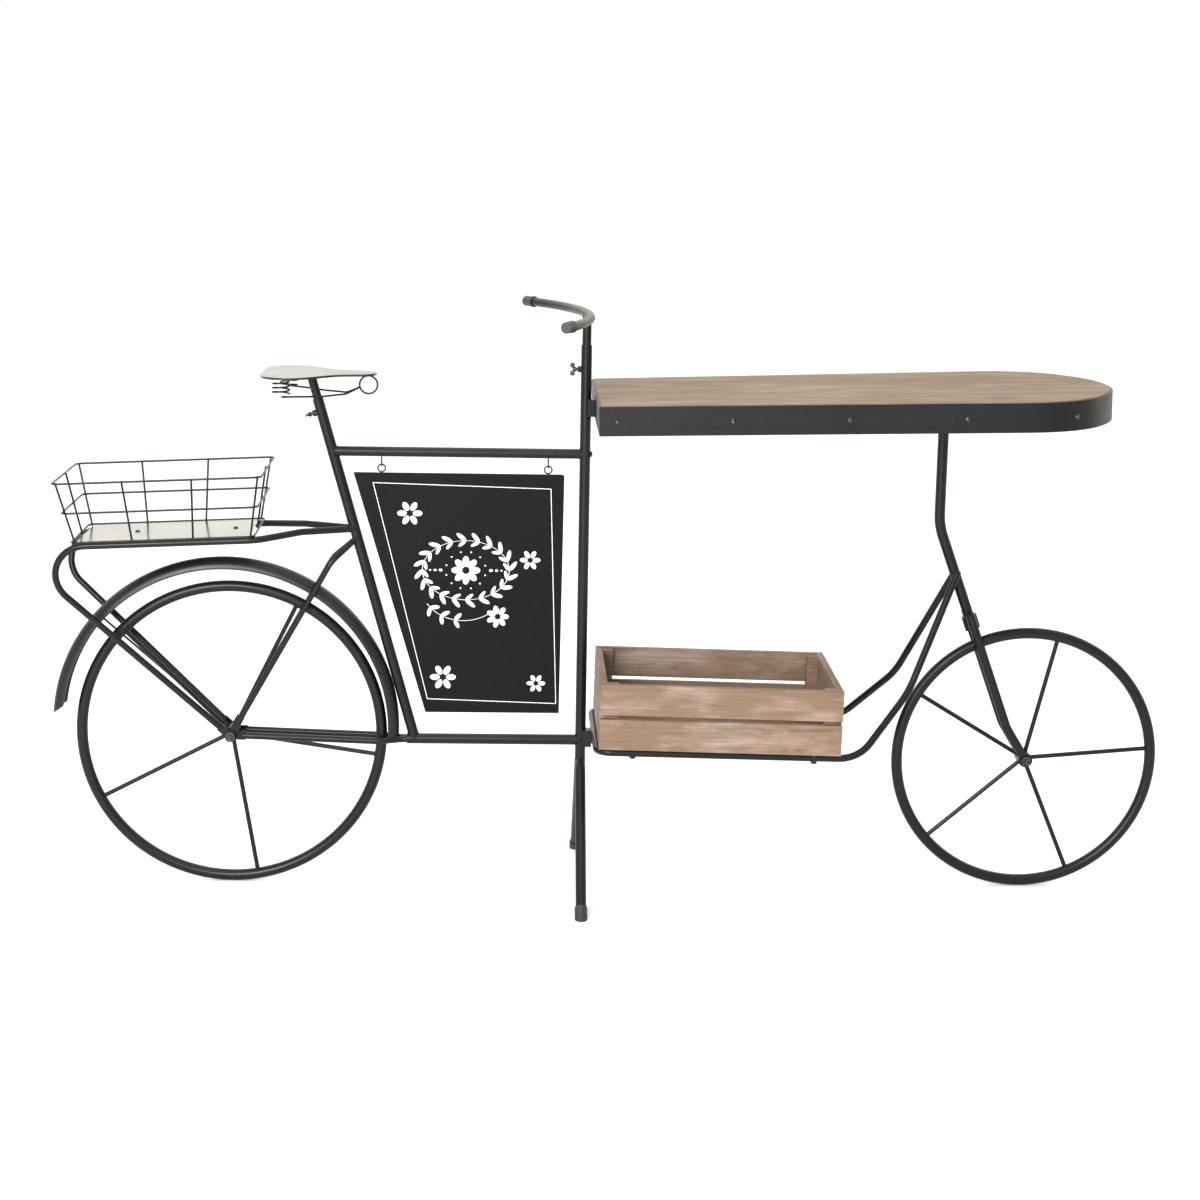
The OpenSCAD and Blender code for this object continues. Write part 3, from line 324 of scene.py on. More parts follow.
def soft_black(name, tint, roughness, grain):
    """Rubber or plastic with a moulded grain."""
    made, tree, shader = new_material(name)
    where = add(tree, "ShaderNodeTexCoord").outputs["Object"]
    cells = add(tree, "ShaderNodeTexVoronoi", {"Vector": where, "Scale": grain}).outputs["Distance"]
    patches = noise(tree, where, 40, detail=4)
    base = blended(tree, spread(tree, patches, 0, 1), colour(tint, 0.8), colour(tint, 1.5))
    tree.links.new(base, shader.inputs["Base Color"])
    tree.links.new(spread(tree, patches, roughness * 0.9, roughness * 1.15),
                   shader.inputs["Roughness"])
    embossed(tree, shader, cells, 0.25, 0.2 * MM)
    return made


def printed_white(name):
    """Off-white print, a little worn through."""
    made, tree, shader = new_material(name)
    where = add(tree, "ShaderNodeTexCoord").outputs["Object"]
    wear = noise(tree, where, 320, detail=6, roughness=0.7)
    base = blended(tree, spread(tree, wear, 0, 1, 0.52, 0.72),
                   colour((0.70, 0.70, 0.68)), colour((0.22,) * 3))
    tree.links.new(base, shader.inputs["Base Color"])
    tree.links.new(spread(tree, wear, 0.5, 0.7), shader.inputs["Roughness"])
    return made


def sawn_wood(name, main, pale, dark, washed):
    """Brushed, lime-washed softwood that follows each board's own grain coordinates."""
    made, tree, shader = new_material(name)
    where = add(tree, "ShaderNodeAttribute", attribute_name="grain").outputs["Vector"]
    tone = add(tree, "ShaderNodeAttribute", attribute_name="tone").outputs["Fac"]
    drift = noise(tree, stretched(tree, where, WOOD_DRIFT), 1, detail=3)
    bands = add(tree, "ShaderNodeTexWave",
                {"Vector": stretched(tree, where, WOOD_RINGS), "Scale": 1.6, "Distortion": 7.0,
                 "Detail": 3.0, "Detail Scale": 1.2}, bands_direction="Y").outputs["Fac"]
    streaks = noise(tree, stretched(tree, where, WOOD_STREAKS), 1, detail=6, roughness=0.65)
    pores = noise(tree, stretched(tree, where, WOOD_PORES), 1, detail=2)
    patches = noise(tree, stretched(tree, where, WOOD_LIME), 1, detail=5, roughness=0.62)
    brushed = noise(tree, stretched(tree, where, WOOD_BRUSHED), 1, detail=3)
    knots = add(tree, "ShaderNodeTexVoronoi",
                {"Vector": stretched(tree, where, WOOD_KNOTS), "Scale": 1.0}).outputs["Distance"]
    rings = blended(tree, spread(tree, bands, 0.0, 0.6, 0.2, 0.9), colour(main), colour(main, 0.78))
    boards = blended(tree, spread(tree, tone, 0, 0.55, 0, 1), rings, colour(pale, 0.85))
    varied = blended(tree, spread(tree, drift, 0, 0.5), boards, colour(main, 1.2))
    streaked = blended(tree, spread(tree, streaks, 0, 0.5, 0.5, 0.75), varied, colour(main, 0.6))
    lime = product(tree, spread(tree, patches, 0, washed, 0.46, 0.66),
                   spread(tree, brushed, 0.25, 1))
    bleached = blended(tree, lime, streaked, colour(pale, 1.35))
    porous = blended(tree, spread(tree, pores, 0, 0.35, 0.56, 0.75), bleached, colour(dark))
    knotty = blended(tree, spread(tree, knots, 0.8, 0, 0.04, 0.13), porous, colour(dark, 1.1))
    tree.links.new(knotty, shader.inputs["Base Color"])
    tree.links.new(spread(tree, streaks, 0.55, 0.8), shader.inputs["Roughness"])
    shader.inputs["IOR"].default_value = 1.4
    fibres = add(tree, "ShaderNodeMath", {0: streaks, 1: pores}, operation="ADD").outputs["Value"]
    embossed(tree, shader, fibres, 0.35, 0.6 * MM)
    return made


def finish_for(slot_name):
    """The material of a slot or of a piece's own finish, made once."""
    name = "fin_" + slot_name
    made = bpy.data.materials.get(name)
    if made:
        return made
    metal = bpy.context.scene.table_metal
    wood = bpy.context.scene.table_wood
    if slot_name == "bolt_black":
        return black_fastener(name)
    if slot_name == "sign_print":
        return printed_white(name)
    if slot_name in MOULDED:
        tint, roughness, cells = MOULDED[slot_name]
        return soft_black(name, (tint,) * 3, roughness, cells)
    if slot_name in BOARDS:
        main, washed = BOARDS[slot_name]
        return sawn_wood(name, getattr(wood, main), wood.pale, wood.dark, washed)
    if slot_name in COATS:
        tint, roughness, coat, ripple, gloss = COATS[slot_name]
        return coated_metal(name, getattr(metal, tint), roughness, metal.peel_size,
                            coat, ripple, gloss)
    return coated_metal(name, metal.coat_colour, metal.coat_roughness, metal.peel_size)


def paint(piece, finish):
    """Puts one finish on a whole piece."""
    piece.data.materials.clear()
    piece.data.materials.append(finish_for(finish))


# ------------------------------------------------------------------ mesh helpers


def joined_copy(node):
    """A bmesh of a frame node with its loose triangles joined."""
    bm = bmesh.new()
    bm.from_mesh(NODES[node].data)
    bmesh.ops.remove_doubles(bm, verts=bm.verts, dist=MERGE_GAP)
    return bm


def merged_copy(node):
    """A joined copy of a frame node whose flat triangles are made clean faces."""
    bm = joined_copy(node)
    bmesh.ops.dissolve_limit(bm, angle_limit=FLAT_ANGLE, verts=bm.verts, edges=bm.edges)
    return bm


def hanging_together(seeds):
    """Every vertex that hangs together with the given ones."""
    group, edge = set(seeds), list(seeds)
    while edge:
        for link in edge.pop().link_edges:
            for v in link.verts:
                if v not in group:
                    group.add(v)
                    edge.append(v)
    return sorted(group, key=lambda v: v.index)


def islands(bm):
    """Groups of vertices that hang together."""
    left = set(bm.verts)
    groups = []
    while left:
        groups.append(hanging_together([min(left, key=lambda v: v.index)]))
        left -= set(groups[-1])
    return groups


def held(name, data):
    """A new object in the scene for a mesh, a light or a camera."""
    piece = bpy.data.objects.new(name, data)
    bpy.context.scene.collection.objects.link(piece)
    return piece


def finished(bm, name, body, slot_name, nodes=(), finish=None, smooth=COAT_SMOOTH):
    """Turns a bmesh into a piece that rides on a body and stands for frame nodes."""
    mesh = bpy.data.meshes.new(name)
    bm.to_mesh(mesh)
    bm.free()
    piece = held(name, mesh)
    paint(piece, finish or slot_name)
    if smooth:
        mesh.shade_smooth()
        mesh.set_sharp_from_angle(angle=math.radians(smooth))
    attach(piece, body)
    if nodes:
        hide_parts(*nodes)
    return piece


def stand_in(bm, node, finish=None, smooth=COAT_SMOOTH):
    """A piece that stands for one frame node, on its body and with its slot."""
    return finished(bm, "pc_" + node, BODY_OF[node], SLOT_OF[node], [node], finish, smooth)


def rounded(piece, width, segments=2):
    """Eases a piece's sharp edges."""
    ease = piece.modifiers.new("eased_edges", "BEVEL")
    ease.width = width
    ease.segments = segments
    ease.limit_method = "ANGLE"
    ease.angle_limit = EASED_ANGLE
    ease.use_clamp_overlap = True
    ease.harden_normals = True
    return piece


def eased_copy(node, width, segments=2, finish=None):
    """A frame node's piece again, with eased edges."""
    return rounded(stand_in(merged_copy(node), node, finish), width, segments)


# ------------------------------------------------------------------ operators


class TABLE_OT_coat(bpy.types.Operator):
    """Coats the tubes, wires, rings and sheets of the frame"""

    bl_idname = "display_table.coat"
    bl_label = "Coat the metal"

    # Nodes with a finish of their own
    own = {"mudguard": "mudguard_black"}

    def execute(self, context):
        for node, thing in NODES.items():
            paint(thing, self.own.get(node, SLOT_OF[node]))
        return {"FINISHED"}


class TABLE_OT_hardware(bpy.types.Operator):
    """Gives nuts, bolts, plates, caps and guides their eased edges"""

    bl_idname = "display_table.hardware"
    bl_label = "Ease the hardware"

    small = ("rear_axle_nuts", "front_axle_nuts", "post_bolts", "band_bolts", "tray_bolts",
             "basket_screws", "table_bracket_bolt", "seat_wing_screw", "stem_wing_screw")
    plates = ("table_bracket", "tray_bracket", "rack_straps", "fork_crown", "support_plate",
              "basket_floor")
    caps = ("foot_caps", "handlebar_caps", "seat_guide", "stem_guide")
    cap_share = 2    # the round of a cap's edges, as a share of the hardware's

    def execute(self, context):
        width = context.scene.table_trim.hardware_round
        for node in self.small + self.plates:
            eased_copy(node, width)
        for node in self.caps:
            eased_copy(node, width * self.cap_share)
        return {"FINISHED"}


class TABLE_OT_band(bpy.types.Operator):
    """Makes the steel band round the table's edge, with its long edges eased"""

    bl_idname = "display_table.band"
    bl_label = "Bend the band"

    round_share = 1.2

    def execute(self, context):
        width = context.scene.table_trim.hardware_round * self.round_share
        eased_copy("table_band", width, 3, "band_black")
        return {"FINISHED"}


class TABLE_OT_saddle(bpy.types.Operator):
    """Eases the saddle's plate and rounds the wire of its springs"""

    bl_idname = "display_table.saddle"
    bl_label = "Make the saddle"

    round_share = 1.4

    def execute(self, context):
        width = context.scene.table_trim.hardware_round * self.round_share
        eased_copy("saddle_plate", width, 3, "sheet_gloss")
        springs = stand_in(joined_copy("saddle_springs"), "saddle_springs")
        wound = springs.modifiers.new("round_wire", "SUBSURF")
        wound.levels = wound.render_levels = 1
        return {"FINISHED"}


def gap_to(tree, spot):
    """The distance from a point to a wall, or the whole search where the wall is further."""
    distance = tree.find_nearest(spot, SEAM_SEARCH)[3]
    return SEAM_SEARCH if distance is None else distance


def seams(node, wall):
    """The closed lines along which a piece's cut end lies on another piece."""
    bm = joined_copy(node)
    other = joined_copy(wall)
    tree = BVHTree.FromBMesh(other)
    near = {v for v in bm.verts if gap_to(tree, v.co) < SEAM_REACH}
    rims = [e for e in bm.edges if e.verts[0] in near and e.verts[1] in near
            and len(e.link_faces) == 2 and e.calc_face_angle() > RIM_ANGLE]
    ends = {}
    for edge in rims:
        for v in edge.verts:
            ends.setdefault(v, []).append(edge)
    lines = []
    unused = set(rims)
    while unused:
        edge = min(unused, key=lambda e: e.index)
        first, here = edge.verts
        line = [first]
        while edge is not None and here is not first:
            unused.discard(edge)
            line.append(here)
            onward = [e for e in ends[here] if e in unused and e is not edge]
            edge = onward[0] if onward else None
            here = edge.other_vert(here) if edge else here
        unused.discard(edge)
        if edge is not None and len(line) >= RIM_POINTS:
            lines.append([v.co.copy() for v in line])
    bm.free()
    other.free()
    return outermost(lines)


def outermost(lines):
    """Leaves out the line of a tube's bore where its outside has one at the same place."""
    middle = [sum(line, Vector()) / len(line) for line in lines]
    width = [max((p - m).length for p in line) for line, m in zip(lines, middle)]

    def inside(i):
        """True where a wider line has nearly the same middle."""
        return any(width[k] > width[i] and (middle[k] - middle[i]).length < BORE_OFFSET
                   for k in range(len(lines)))

    return [line for i, line in enumerate(lines) if not inside(i)]


def bead_mesh(lines, size, seed):
    """Weld beads along closed lines, rippled where the welder paused."""
    curve = bpy.data.curves.new("weld_line", "CURVE")
    curve.dimensions = "3D"
    curve.bevel_depth = size / 2
    curve.bevel_resolution = 1
    shake = random.Random(seed)
    for line in lines:
        spans = [(b - a).length for a, b in zip(line, line[1:] + line[:1])]
        count = max(BEAD_POINTS, int(sum(spans) / (size * BEAD_STEP)))
        spline = curve.splines.new("POLY")
        spline.points.add(count - 1)
        spline.use_cyclic_u = True
        k, gone = 0, 0.0
        for i, point in enumerate(spline.points):
            goal = sum(spans) * i / count
            while gone + spans[k] < goal:
                gone += spans[k]
                k += 1
            share = (goal - gone) / spans[k]
            point.co = (*line[k].lerp(line[(k + 1) % len(line)], share), 1)
            wave = RIPPLE * math.sin(i * math.tau / RIPPLE_POINTS)
            point.radius = BEAD_WAIST + wave + shake.uniform(-UNEVEN, UNEVEN)
    holder = bpy.data.objects.new("weld_line", curve)
    mesh = bpy.data.meshes.new_from_object(holder)
    bpy.data.objects.remove(holder)
    bpy.data.curves.remove(curve)
    bm = bmesh.new()
    bm.from_mesh(mesh)
    bpy.data.meshes.remove(mesh)
    bmesh.ops.recalc_face_normals(bm, faces=bm.faces)
    return bm


class TABLE_OT_welds(bpy.types.Operator):
    """Runs a weld bead round every tube and wire end"""

    bl_idname = "display_table.welds"
    bl_label = "Weld the joints"

    # name, body, material slot, share of the full bead, and the pairs that it joins
    groups = (
        ("pc_frame_welds", "frame", "frame_black", 1.0, (
            ("top_tube", "seat_tube"), ("top_tube", "main_post"), ("seat_tube", "bottom_tube"),
            ("bottom_tube", "main_post"), ("main_post", "stand_legs"), ("seat_stays", "seat_tube"),
            ("rack_tube_near", "seat_tube"), ("rack_tube_far", "seat_tube"),
            ("front_support", "support_plate"), ("fork_crown", "front_support"),
            ("tray_rail_near", "front_support"), ("tray_rail_far", "front_support"),
            ("tray_bracket", "main_post"), ("table_bracket", "main_post"))),
        ("pc_rack_welds", "frame", "frame_black", 0.6, (
            ("rack_straps", "rack_tube_near"), ("rack_straps", "rack_tube_far"))),
        ("pc_rear_wheel_welds", "rear_wheel", "wheel_black", 0.7, (
            ("rear_spokes", "rear_ring"), ("rear_spokes", "rear_hub"))),
        ("pc_front_wheel_welds", "front_wheel", "wheel_black", 0.7, (
            ("front_spokes", "front_ring"), ("front_spokes", "front_hub"))),
        ("pc_handlebar_weld", "handlebar", "frame_black", 0.8, (("handlebar_stem", "handlebar"),)),
        ("pc_saddle_weld", "seat", "frame_black", 0.6, (("seat_post", "saddle_plate"),)),
    )

    # The basket's spot welds
    spot_shape = (1.1, 1.1, 0.85, 1)    # stretch of a spot from a ball
    wire_end = 2 * MM                   # an upright's end is the points this near its tip
    wire_steps = 60                     # places along an upright that are tried
    middle_steps = range(10, 55)        # those among them where the middle wire may cross

    def execute(self, context):
        size = context.scene.table_trim.bead
        for seed, (name, body, slot_name, share, pairs) in enumerate(self.groups):
            lines = []
            for node, wall in pairs:
                lines += seams(node, wall)
            finished(bead_mesh(lines, size * share, seed), name, body, slot_name, smooth=0)
        self.basket_spots(size)
        return {"FINISHED"}

    def basket_spots(self, size):
        """Spot welds where the basket's uprights meet its three wires."""
        uprights = joined_copy("basket_uprights")
        middle = joined_copy("basket_middle_wire")
        tree = BVHTree.FromBMesh(middle)
        spots = bmesh.new()
        shape = Matrix.Diagonal(self.spot_shape)
        for wire in islands(uprights):
            heights = sorted(v.co.z for v in wire)
            ends = []
            for tip in (heights[0], heights[-1]):
                here = [v.co for v in wire if abs(v.co.z - tip) < self.wire_end]
                ends.append(sum(here, Vector()) / len(here))
            steps = [ends[0].lerp(ends[1], i / self.wire_steps) for i in self.middle_steps]
            crossing = min(steps, key=lambda p: tree.find_nearest(p)[3])
            for place in (*ends, crossing.lerp(tree.find_nearest(crossing)[0], 0.5)):
                bmesh.ops.create_icosphere(spots, subdivisions=2, radius=size,
                                           matrix=Matrix.Translation(place) @ shape)
        uprights.free()
        middle.free()
        finished(spots, "pc_basket_spot_welds", "frame", "wire_black")


def oval(bm, board, x, z, length, width, turn=0.0):
    """A printed oval on the sign, closed and slightly proud."""
    place = (Matrix.Translation(board.spot(x, z)) @ Matrix.Rotation(-turn, 4, "Y")
             @ Matrix.Diagonal((length / 2, board.proud, width / 2, 1))
             @ Matrix.Rotation(math.pi / 2, 4, "X"))
    bmesh.ops.create_cone(bm, cap_ends=True, segments=OVAL_POINTS, radius1=1, radius2=1, depth=1,
                          matrix=place)


def blossom(bm, board, x, z, radius, petals, turn=0.0):
    """Petals round an open middle."""
    reach = PETAL_PLACE * radius
    for i in range(petals):
        angle = turn + i * math.tau / petals
        oval(bm, board, x + reach * math.cos(angle), z + reach * math.sin(angle),
             PETAL_LENGTH * radius, PETAL_WIDTH * radius, angle)


def bough(bm, board, x, z, half_wide, half_high, start, sweep):
    """A printed curved stem, an arc of an oval."""
    section = bmesh.ops.create_circle(bm, segments=4, radius=STEM_LINE * 0.7)["verts"]
    bmesh.ops.rotate(bm, cent=(0, 0, 0), matrix=Matrix.Rotation(math.pi / 4, 3, "Z"), verts=section)
    bmesh.ops.scale(bm, vec=(1, board.proud / STEM_LINE, 1), verts=section)
    bmesh.ops.translate(bm, vec=(half_wide, 0, 0), verts=section)
    bmesh.ops.rotate(bm, cent=(0, 0, 0), matrix=Matrix.Rotation(-start, 3, "Y"), verts=section)
    edges = list({e for v in section for e in v.link_edges})
    full = sweep == math.tau
    bmesh.ops.spin(bm, geom=section + edges, cent=(0, 0, 0), axis=(0, -1, 0), angle=sweep,
                   steps=max(8, int(sweep * STEM_STEPS)), use_merge=full)
    fresh = hanging_together(section)
    if not full:
        rim = {e for v in fresh for e in v.link_edges if e.is_boundary}
        bmesh.ops.holes_fill(bm, edges=list(rim), sides=0)
    squeeze = Matrix.Diagonal((1, 1, half_high / half_wide, 1))
    bmesh.ops.transform(bm, matrix=Matrix.Translation(board.spot(x, z)) @ squeeze, verts=fresh)


class SignFace:
    """Places on the sign's near face, in metres from its lower left corner."""

    def __init__(self, proud):
        low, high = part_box("sign_board")
        self.corner = Vector(low)
        self.wide, self.high = high[0] - low[0], high[2] - low[2]
        self.proud = proud

    def spot(self, x, z):
        """A point on the face."""
        return self.corner + Vector((x, -self.proud / 2, z))


class TABLE_OT_sign(bpy.types.Operator):
    """Prints a border, blossoms and a leafy wreath on the sign"""

    bl_idname = "display_table.sign"
    bl_label = "Print the sign"

    # Corners of the border, as shares of the board's width and height
    corners = ((0.0907, 0.960), (0.9387, 0.9418), (0.976, 0.040), (0.352, 0.056))
    border_line = 1.3 * MM
    # Share across, share up and radius in metres
    blossoms = ((0.267, 0.834, 0.0225), (0.842, 0.645, 0.0185),
                (0.428, 0.150, 0.0235), (0.877, 0.127, 0.0170))
    round_share = 1.6

    # The wreath: its middle as shares, then its half sizes and its parts in metres
    wreath_at = (0.535, 0.60)
    wreath_half = (0.078, 0.054)
    leaf_pairs = 20
    leaves = ((52, 0.021), (128, 0.017))    # turn from the stem in degrees, and length
    leaf_slim = 0.36
    heart = 0.026
    dots, dot, dot_half = 12, 0.003, (0.036, 0.034)
    # Reach from the middle, length and width of the drops on either side
    drops = ((0.045, 0.007, 0.005), (0.055, 0.0055, 0.004), (0.064, 0.004, 0.003))

    # The sprig: its place as shares, then its stem's middle and half sizes from there
    sprig_at = (0.55, 0.412)
    stem_middle = (-0.01, 0.052)
    stem_half = (0.075, 0.062)
    stem_arc = (210, 110)                   # start and sweep in degrees
    leaf_feet, leaf_leans = (218, 238, 258), (55, -50)
    sprig_leaf = (0.017, 0.0072)
    flower = (0.052, -0.002, 0.0205, 7)     # place from the sprig's, radius and petals

    def execute(self, context):
        trim = context.scene.table_trim
        eased_copy("sign_board", trim.hardware_round * self.round_share, 3)
        board = SignFace(trim.print_proud)
        bm = bmesh.new()
        self.border(bm, board)
        for x, z, radius in self.blossoms:
            blossom(bm, board, x * board.wide, z * board.high, radius, trim.petals)
        self.wreath(bm, board, trim.petals)
        self.sprig(bm, board)
        bmesh.ops.recalc_face_normals(bm, faces=bm.faces)
        finished(bm, "pc_sign_print", "sign", "sign_black", finish="sign_print", smooth=0)
        return {"FINISHED"}

    def border(self, bm, board):
        """A thin line along the board's edges."""
        ring = bmesh.ops.create_circle(bm, cap_ends=True, segments=4, radius=1)["verts"]
        for v, (x, z) in zip(ring, self.corners):
            v.co = board.spot(x * board.wide, z * board.high) - Vector((0, board.proud / 2, 0))
        face = ring[0].link_faces[0]
        face.normal_update()
        bmesh.ops.inset_region(bm, faces=[face], thickness=self.border_line,
                               use_even_offset=True, use_boundary=True)
        bmesh.ops.delete(bm, geom=[face], context="FACES_ONLY")
        flat = list({f for v in ring for f in v.link_faces})
        raised = bmesh.ops.extrude_face_region(bm, geom=flat, use_keep_orig=True)["geom"]
        back = [v for v in raised if isinstance(v, bmesh.types.BMVert)]
        bmesh.ops.translate(bm, vec=(0, board.proud, 0), verts=back)

    def wreath(self, bm, board, petals):
        """An oval of leaves in pairs, with a blossom in its middle."""
        x, z = self.wreath_at[0] * board.wide, self.wreath_at[1] * board.high
        wide, high = self.wreath_half
        bough(bm, board, x, z, wide, high, 0, math.tau)
        for i in range(self.leaf_pairs):
            angle = i * math.tau / self.leaf_pairs
            out = math.atan2(math.sin(angle) / high, math.cos(angle) / wide)
            for lean, length in self.leaves:
                way = out + math.radians(lean)
                oval(bm, board, x + wide * math.cos(angle) + length / 2 * math.cos(way),
                     z + high * math.sin(angle) + length / 2 * math.sin(way),
                     length, length * self.leaf_slim, way)
        blossom(bm, board, x, z, self.heart, petals + 2)
        for i in range(self.dots):
            angle = (i + 0.5) * math.tau / self.dots
            oval(bm, board, x + self.dot_half[0] * math.cos(angle),
                 z + self.dot_half[1] * math.sin(angle), self.dot, self.dot)
        for side in (-1, 1):
            for reach, length, width in self.drops:
                oval(bm, board, x + side * reach, z, length, width)

    def sprig(self, bm, board):
        """A round flower at the end of a leafy stem."""
        x, z = self.sprig_at[0] * board.wide, self.sprig_at[1] * board.high
        middle_x, middle_z = x + self.stem_middle[0], z + self.stem_middle[1]
        wide, high = self.stem_half
        start, sweep = (math.radians(angle) for angle in self.stem_arc)
        bough(bm, board, middle_x, middle_z, wide, high, start, sweep)
        length, width = self.sprig_leaf
        for angle in self.leaf_feet:
            foot = math.radians(angle)
            for lean in self.leaf_leans:
                way = foot + math.radians(90 + lean)
                oval(bm, board, middle_x + wide * math.cos(foot) + length / 2 * math.cos(way),
                     middle_z + high * math.sin(foot) + length / 2 * math.sin(way),
                     length, width, way)
        across, up, radius, petals = self.flower
        blossom(bm, board, x + across, z + up, radius, petals)


def boarded(node, context):
    """A node's boards with eased edges and their own grain coordinates."""
    bm = merged_copy(node)
    bm.verts.index_update()
    layer = bm.verts.layers.float_vector.new("grain")
    tone_layer = bm.verts.layers.float.new("tone")
    shift = random.Random(BOARD_SEEDS[node])
    for board in islands(bm):
        low = [min(v.co[i] for v in board) for i in range(3)]
        high = [max(v.co[i] for v in board) for i in range(3)]
        order = sorted(range(3), key=lambda i: low[i] - high[i])
        offset = [shift.uniform(0, GRAIN_SHIFT) for _ in range(3)]
        tone = shift.random()
        for v in board:
            v[layer] = [v.co[axis] + offset[k] for k, axis in enumerate(order)]
            v[tone_layer] = tone
    return rounded(stand_in(bm, node, smooth=BOARD_SMOOTH), context.scene.table_wood.edge_round)


class TABLE_OT_table_top(bpy.types.Operator):
    """Lays the table's planks and battens"""

    bl_idname = "display_table.table_top"
    bl_label = "Lay the table top"

    def execute(self, context):
        boarded("table_planks", context)
        boarded("table_battens", context)
        return {"FINISHED"}


class TABLE_OT_crate(bpy.types.Operator):
    """Nails the crate's boards together"""

    bl_idname = "display_table.crate"
    bl_label = "Build the crate"

    def execute(self, context):
        boarded("crate_sides", context)
        boarded("crate_ends", context)
        return {"FINISHED"}


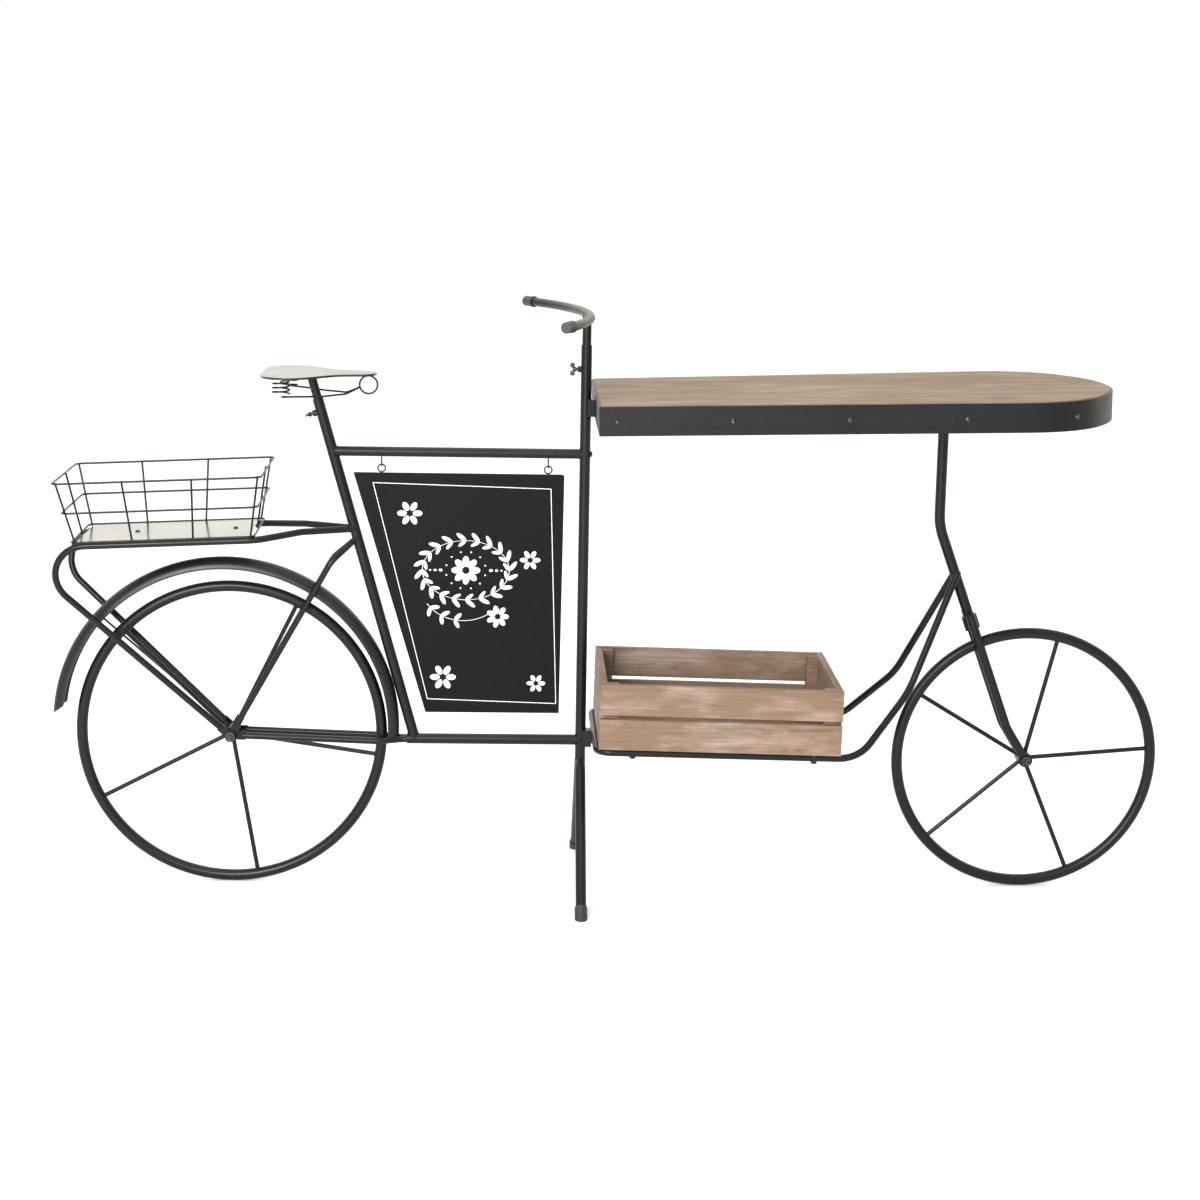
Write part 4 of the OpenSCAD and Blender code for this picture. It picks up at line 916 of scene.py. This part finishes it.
class TABLE_OT_studio(bpy.types.Operator):
    """Sets the floor, the surround, the soft lights and the camera"""

    bl_idname = "display_table.studio"
    bl_label = "Set up the studio"

    floor_half = 14
    # Name, place, point aimed at, and width across, in metres
    overhead = ("overhead", (0.1, -0.4, 3.6), (0, 0, 0.4), 3.2)
    front = ("front_fill", (-1.8, -4.6, 2.2), (0, 0, 0.6), 2.4)
    # Where the warm wall fades in: upwards, and towards the back
    wall_rise, wall_depth = (0.11, 0.19), (0.0, 0.6)

    camera_place = Vector((-0.1861, -4.292, 1.405))
    yaw = math.radians(2.192)      # to the right of straight ahead
    pitch = math.radians(11.5)     # below the level
    roll = math.radians(1.041)
    sensor = 36                    # millimetres

    def execute(self, context):
        studio = context.scene.table_studio
        context.scene.view_settings.view_transform = "Standard"
        self.floor(studio)
        self.surround(context, studio)
        self.light(*self.overhead, studio.key_watts)
        self.light(*self.front, studio.front_watts)
        self.camera(context, studio)
        return {"FINISHED"}

    def floor(self, studio):
        """A pale, faintly uneven floor."""
        bm = bmesh.new()
        bmesh.ops.create_grid(bm, x_segments=1, y_segments=1, size=self.floor_half)
        mesh = bpy.data.meshes.new("studio_floor")
        bm.to_mesh(mesh)
        bm.free()
        piece = held("studio_floor", mesh)
        made, tree, shader = new_material("fin_floor")
        where = add(tree, "ShaderNodeTexCoord").outputs["Object"]
        shade = blended(tree, noise(tree, where, 3),
                        colour(studio.floor_colour, 0.99), colour(studio.floor_colour))
        tree.links.new(shade, shader.inputs["Base Color"])
        shader.inputs["Roughness"].default_value = 0.9
        mesh.materials.append(made)

    def surround(self, context, studio):
        """White light from all round, with a warm wall high behind the table."""
        world = bpy.data.worlds.new("studio_surround")
        context.scene.world = world
        world.use_nodes = True
        tree = world.node_tree
        back = tree.nodes["Background"]
        ways = add(tree, "ShaderNodeSeparateXYZ",
                   {"Vector": add(tree, "ShaderNodeTexCoord").outputs["Generated"]}).outputs
        behind = product(tree, spread(tree, ways["Z"], 0, 1, *self.wall_rise),
                         spread(tree, ways["Y"], 0, 1, *self.wall_depth))
        lit = blended(tree, behind, (1, 1, 1, 1), colour(studio.rear_wall))
        tree.links.new(lit, back.inputs["Color"])
        back.inputs["Strength"].default_value = studio.sky_strength

    def light(self, name, place, aim, size, watts):
        """A round soft light that looks at a point."""
        data = bpy.data.lights.new(name, "AREA")
        data.shape = "DISK"
        data.size = size
        data.energy = watts
        lamp = held(name, data)
        lamp.location = place
        lamp.rotation_euler = (Vector(place) - Vector(aim)).to_track_quat("Z", "Y").to_euler()

    def camera(self, context, studio):
        """The camera, from its place and its three turns."""
        ahead = Vector((math.sin(self.yaw) * math.cos(self.pitch),
                        math.cos(self.yaw) * math.cos(self.pitch), -math.sin(self.pitch)))
        level = Vector((math.cos(self.yaw), -math.sin(self.yaw), 0))
        upright = level.cross(ahead)
        right = level * math.cos(self.roll) + upright * math.sin(self.roll)
        up = upright * math.cos(self.roll) - level * math.sin(self.roll)
        turn = Matrix((right, up, -ahead)).transposed().to_4x4()
        data = bpy.data.cameras.new("studio_camera")
        data.lens = studio.lens
        data.sensor_width = self.sensor
        camera = held("studio_camera", data)
        camera.matrix_world = Matrix.Translation(self.camera_place) @ turn
        context.scene.camera = camera


OPERATORS = (TABLE_OT_coat, TABLE_OT_welds, TABLE_OT_hardware, TABLE_OT_saddle, TABLE_OT_sign,
             TABLE_OT_band, TABLE_OT_table_top, TABLE_OT_crate, TABLE_OT_studio)


class TABLE_PT_panel(bpy.types.Panel):
    """Lists the table's pieces in the order they are made"""

    bl_label = "Display Table"
    bl_idname = "TABLE_PT_panel"
    bl_space_type = "VIEW_3D"
    bl_region_type = "UI"
    bl_category = "Display Table"

    def draw(self, context):
        """Shows the operators and all the settings."""
        for operator in OPERATORS:
            self.layout.operator(operator.bl_idname)
        for group in ("table_metal", "table_wood", "table_trim", "table_studio"):
            box = self.layout.box()
            settings = getattr(context.scene, group)
            for name in settings.__annotations__:
                box.prop(settings, name)


SETTINGS = {"table_metal": MetalFinish, "table_wood": WoodFinish, "table_trim": TrimSizes,
            "table_studio": StudioSetup}


def register():
    """Makes the settings, the operators and the panel known to Blender."""
    for name, group in SETTINGS.items():
        bpy.utils.register_class(group)
        setattr(bpy.types.Scene, name, PointerProperty(type=group))
    for operator in OPERATORS:
        bpy.utils.register_class(operator)
    bpy.utils.register_class(TABLE_PT_panel)


def unregister():
    """Takes them away again."""
    bpy.utils.unregister_class(TABLE_PT_panel)
    for operator in reversed(OPERATORS):
        bpy.utils.unregister_class(operator)
    for name, group in SETTINGS.items():
        delattr(bpy.types.Scene, name)
        bpy.utils.unregister_class(group)


def main():
    """Dresses the whole table."""
    register()
    for operator in OPERATORS:
        space, name = operator.bl_idname.split(".")
        getattr(getattr(bpy.ops, space), name)()
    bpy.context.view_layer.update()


if __name__ == "__main__":
    main()
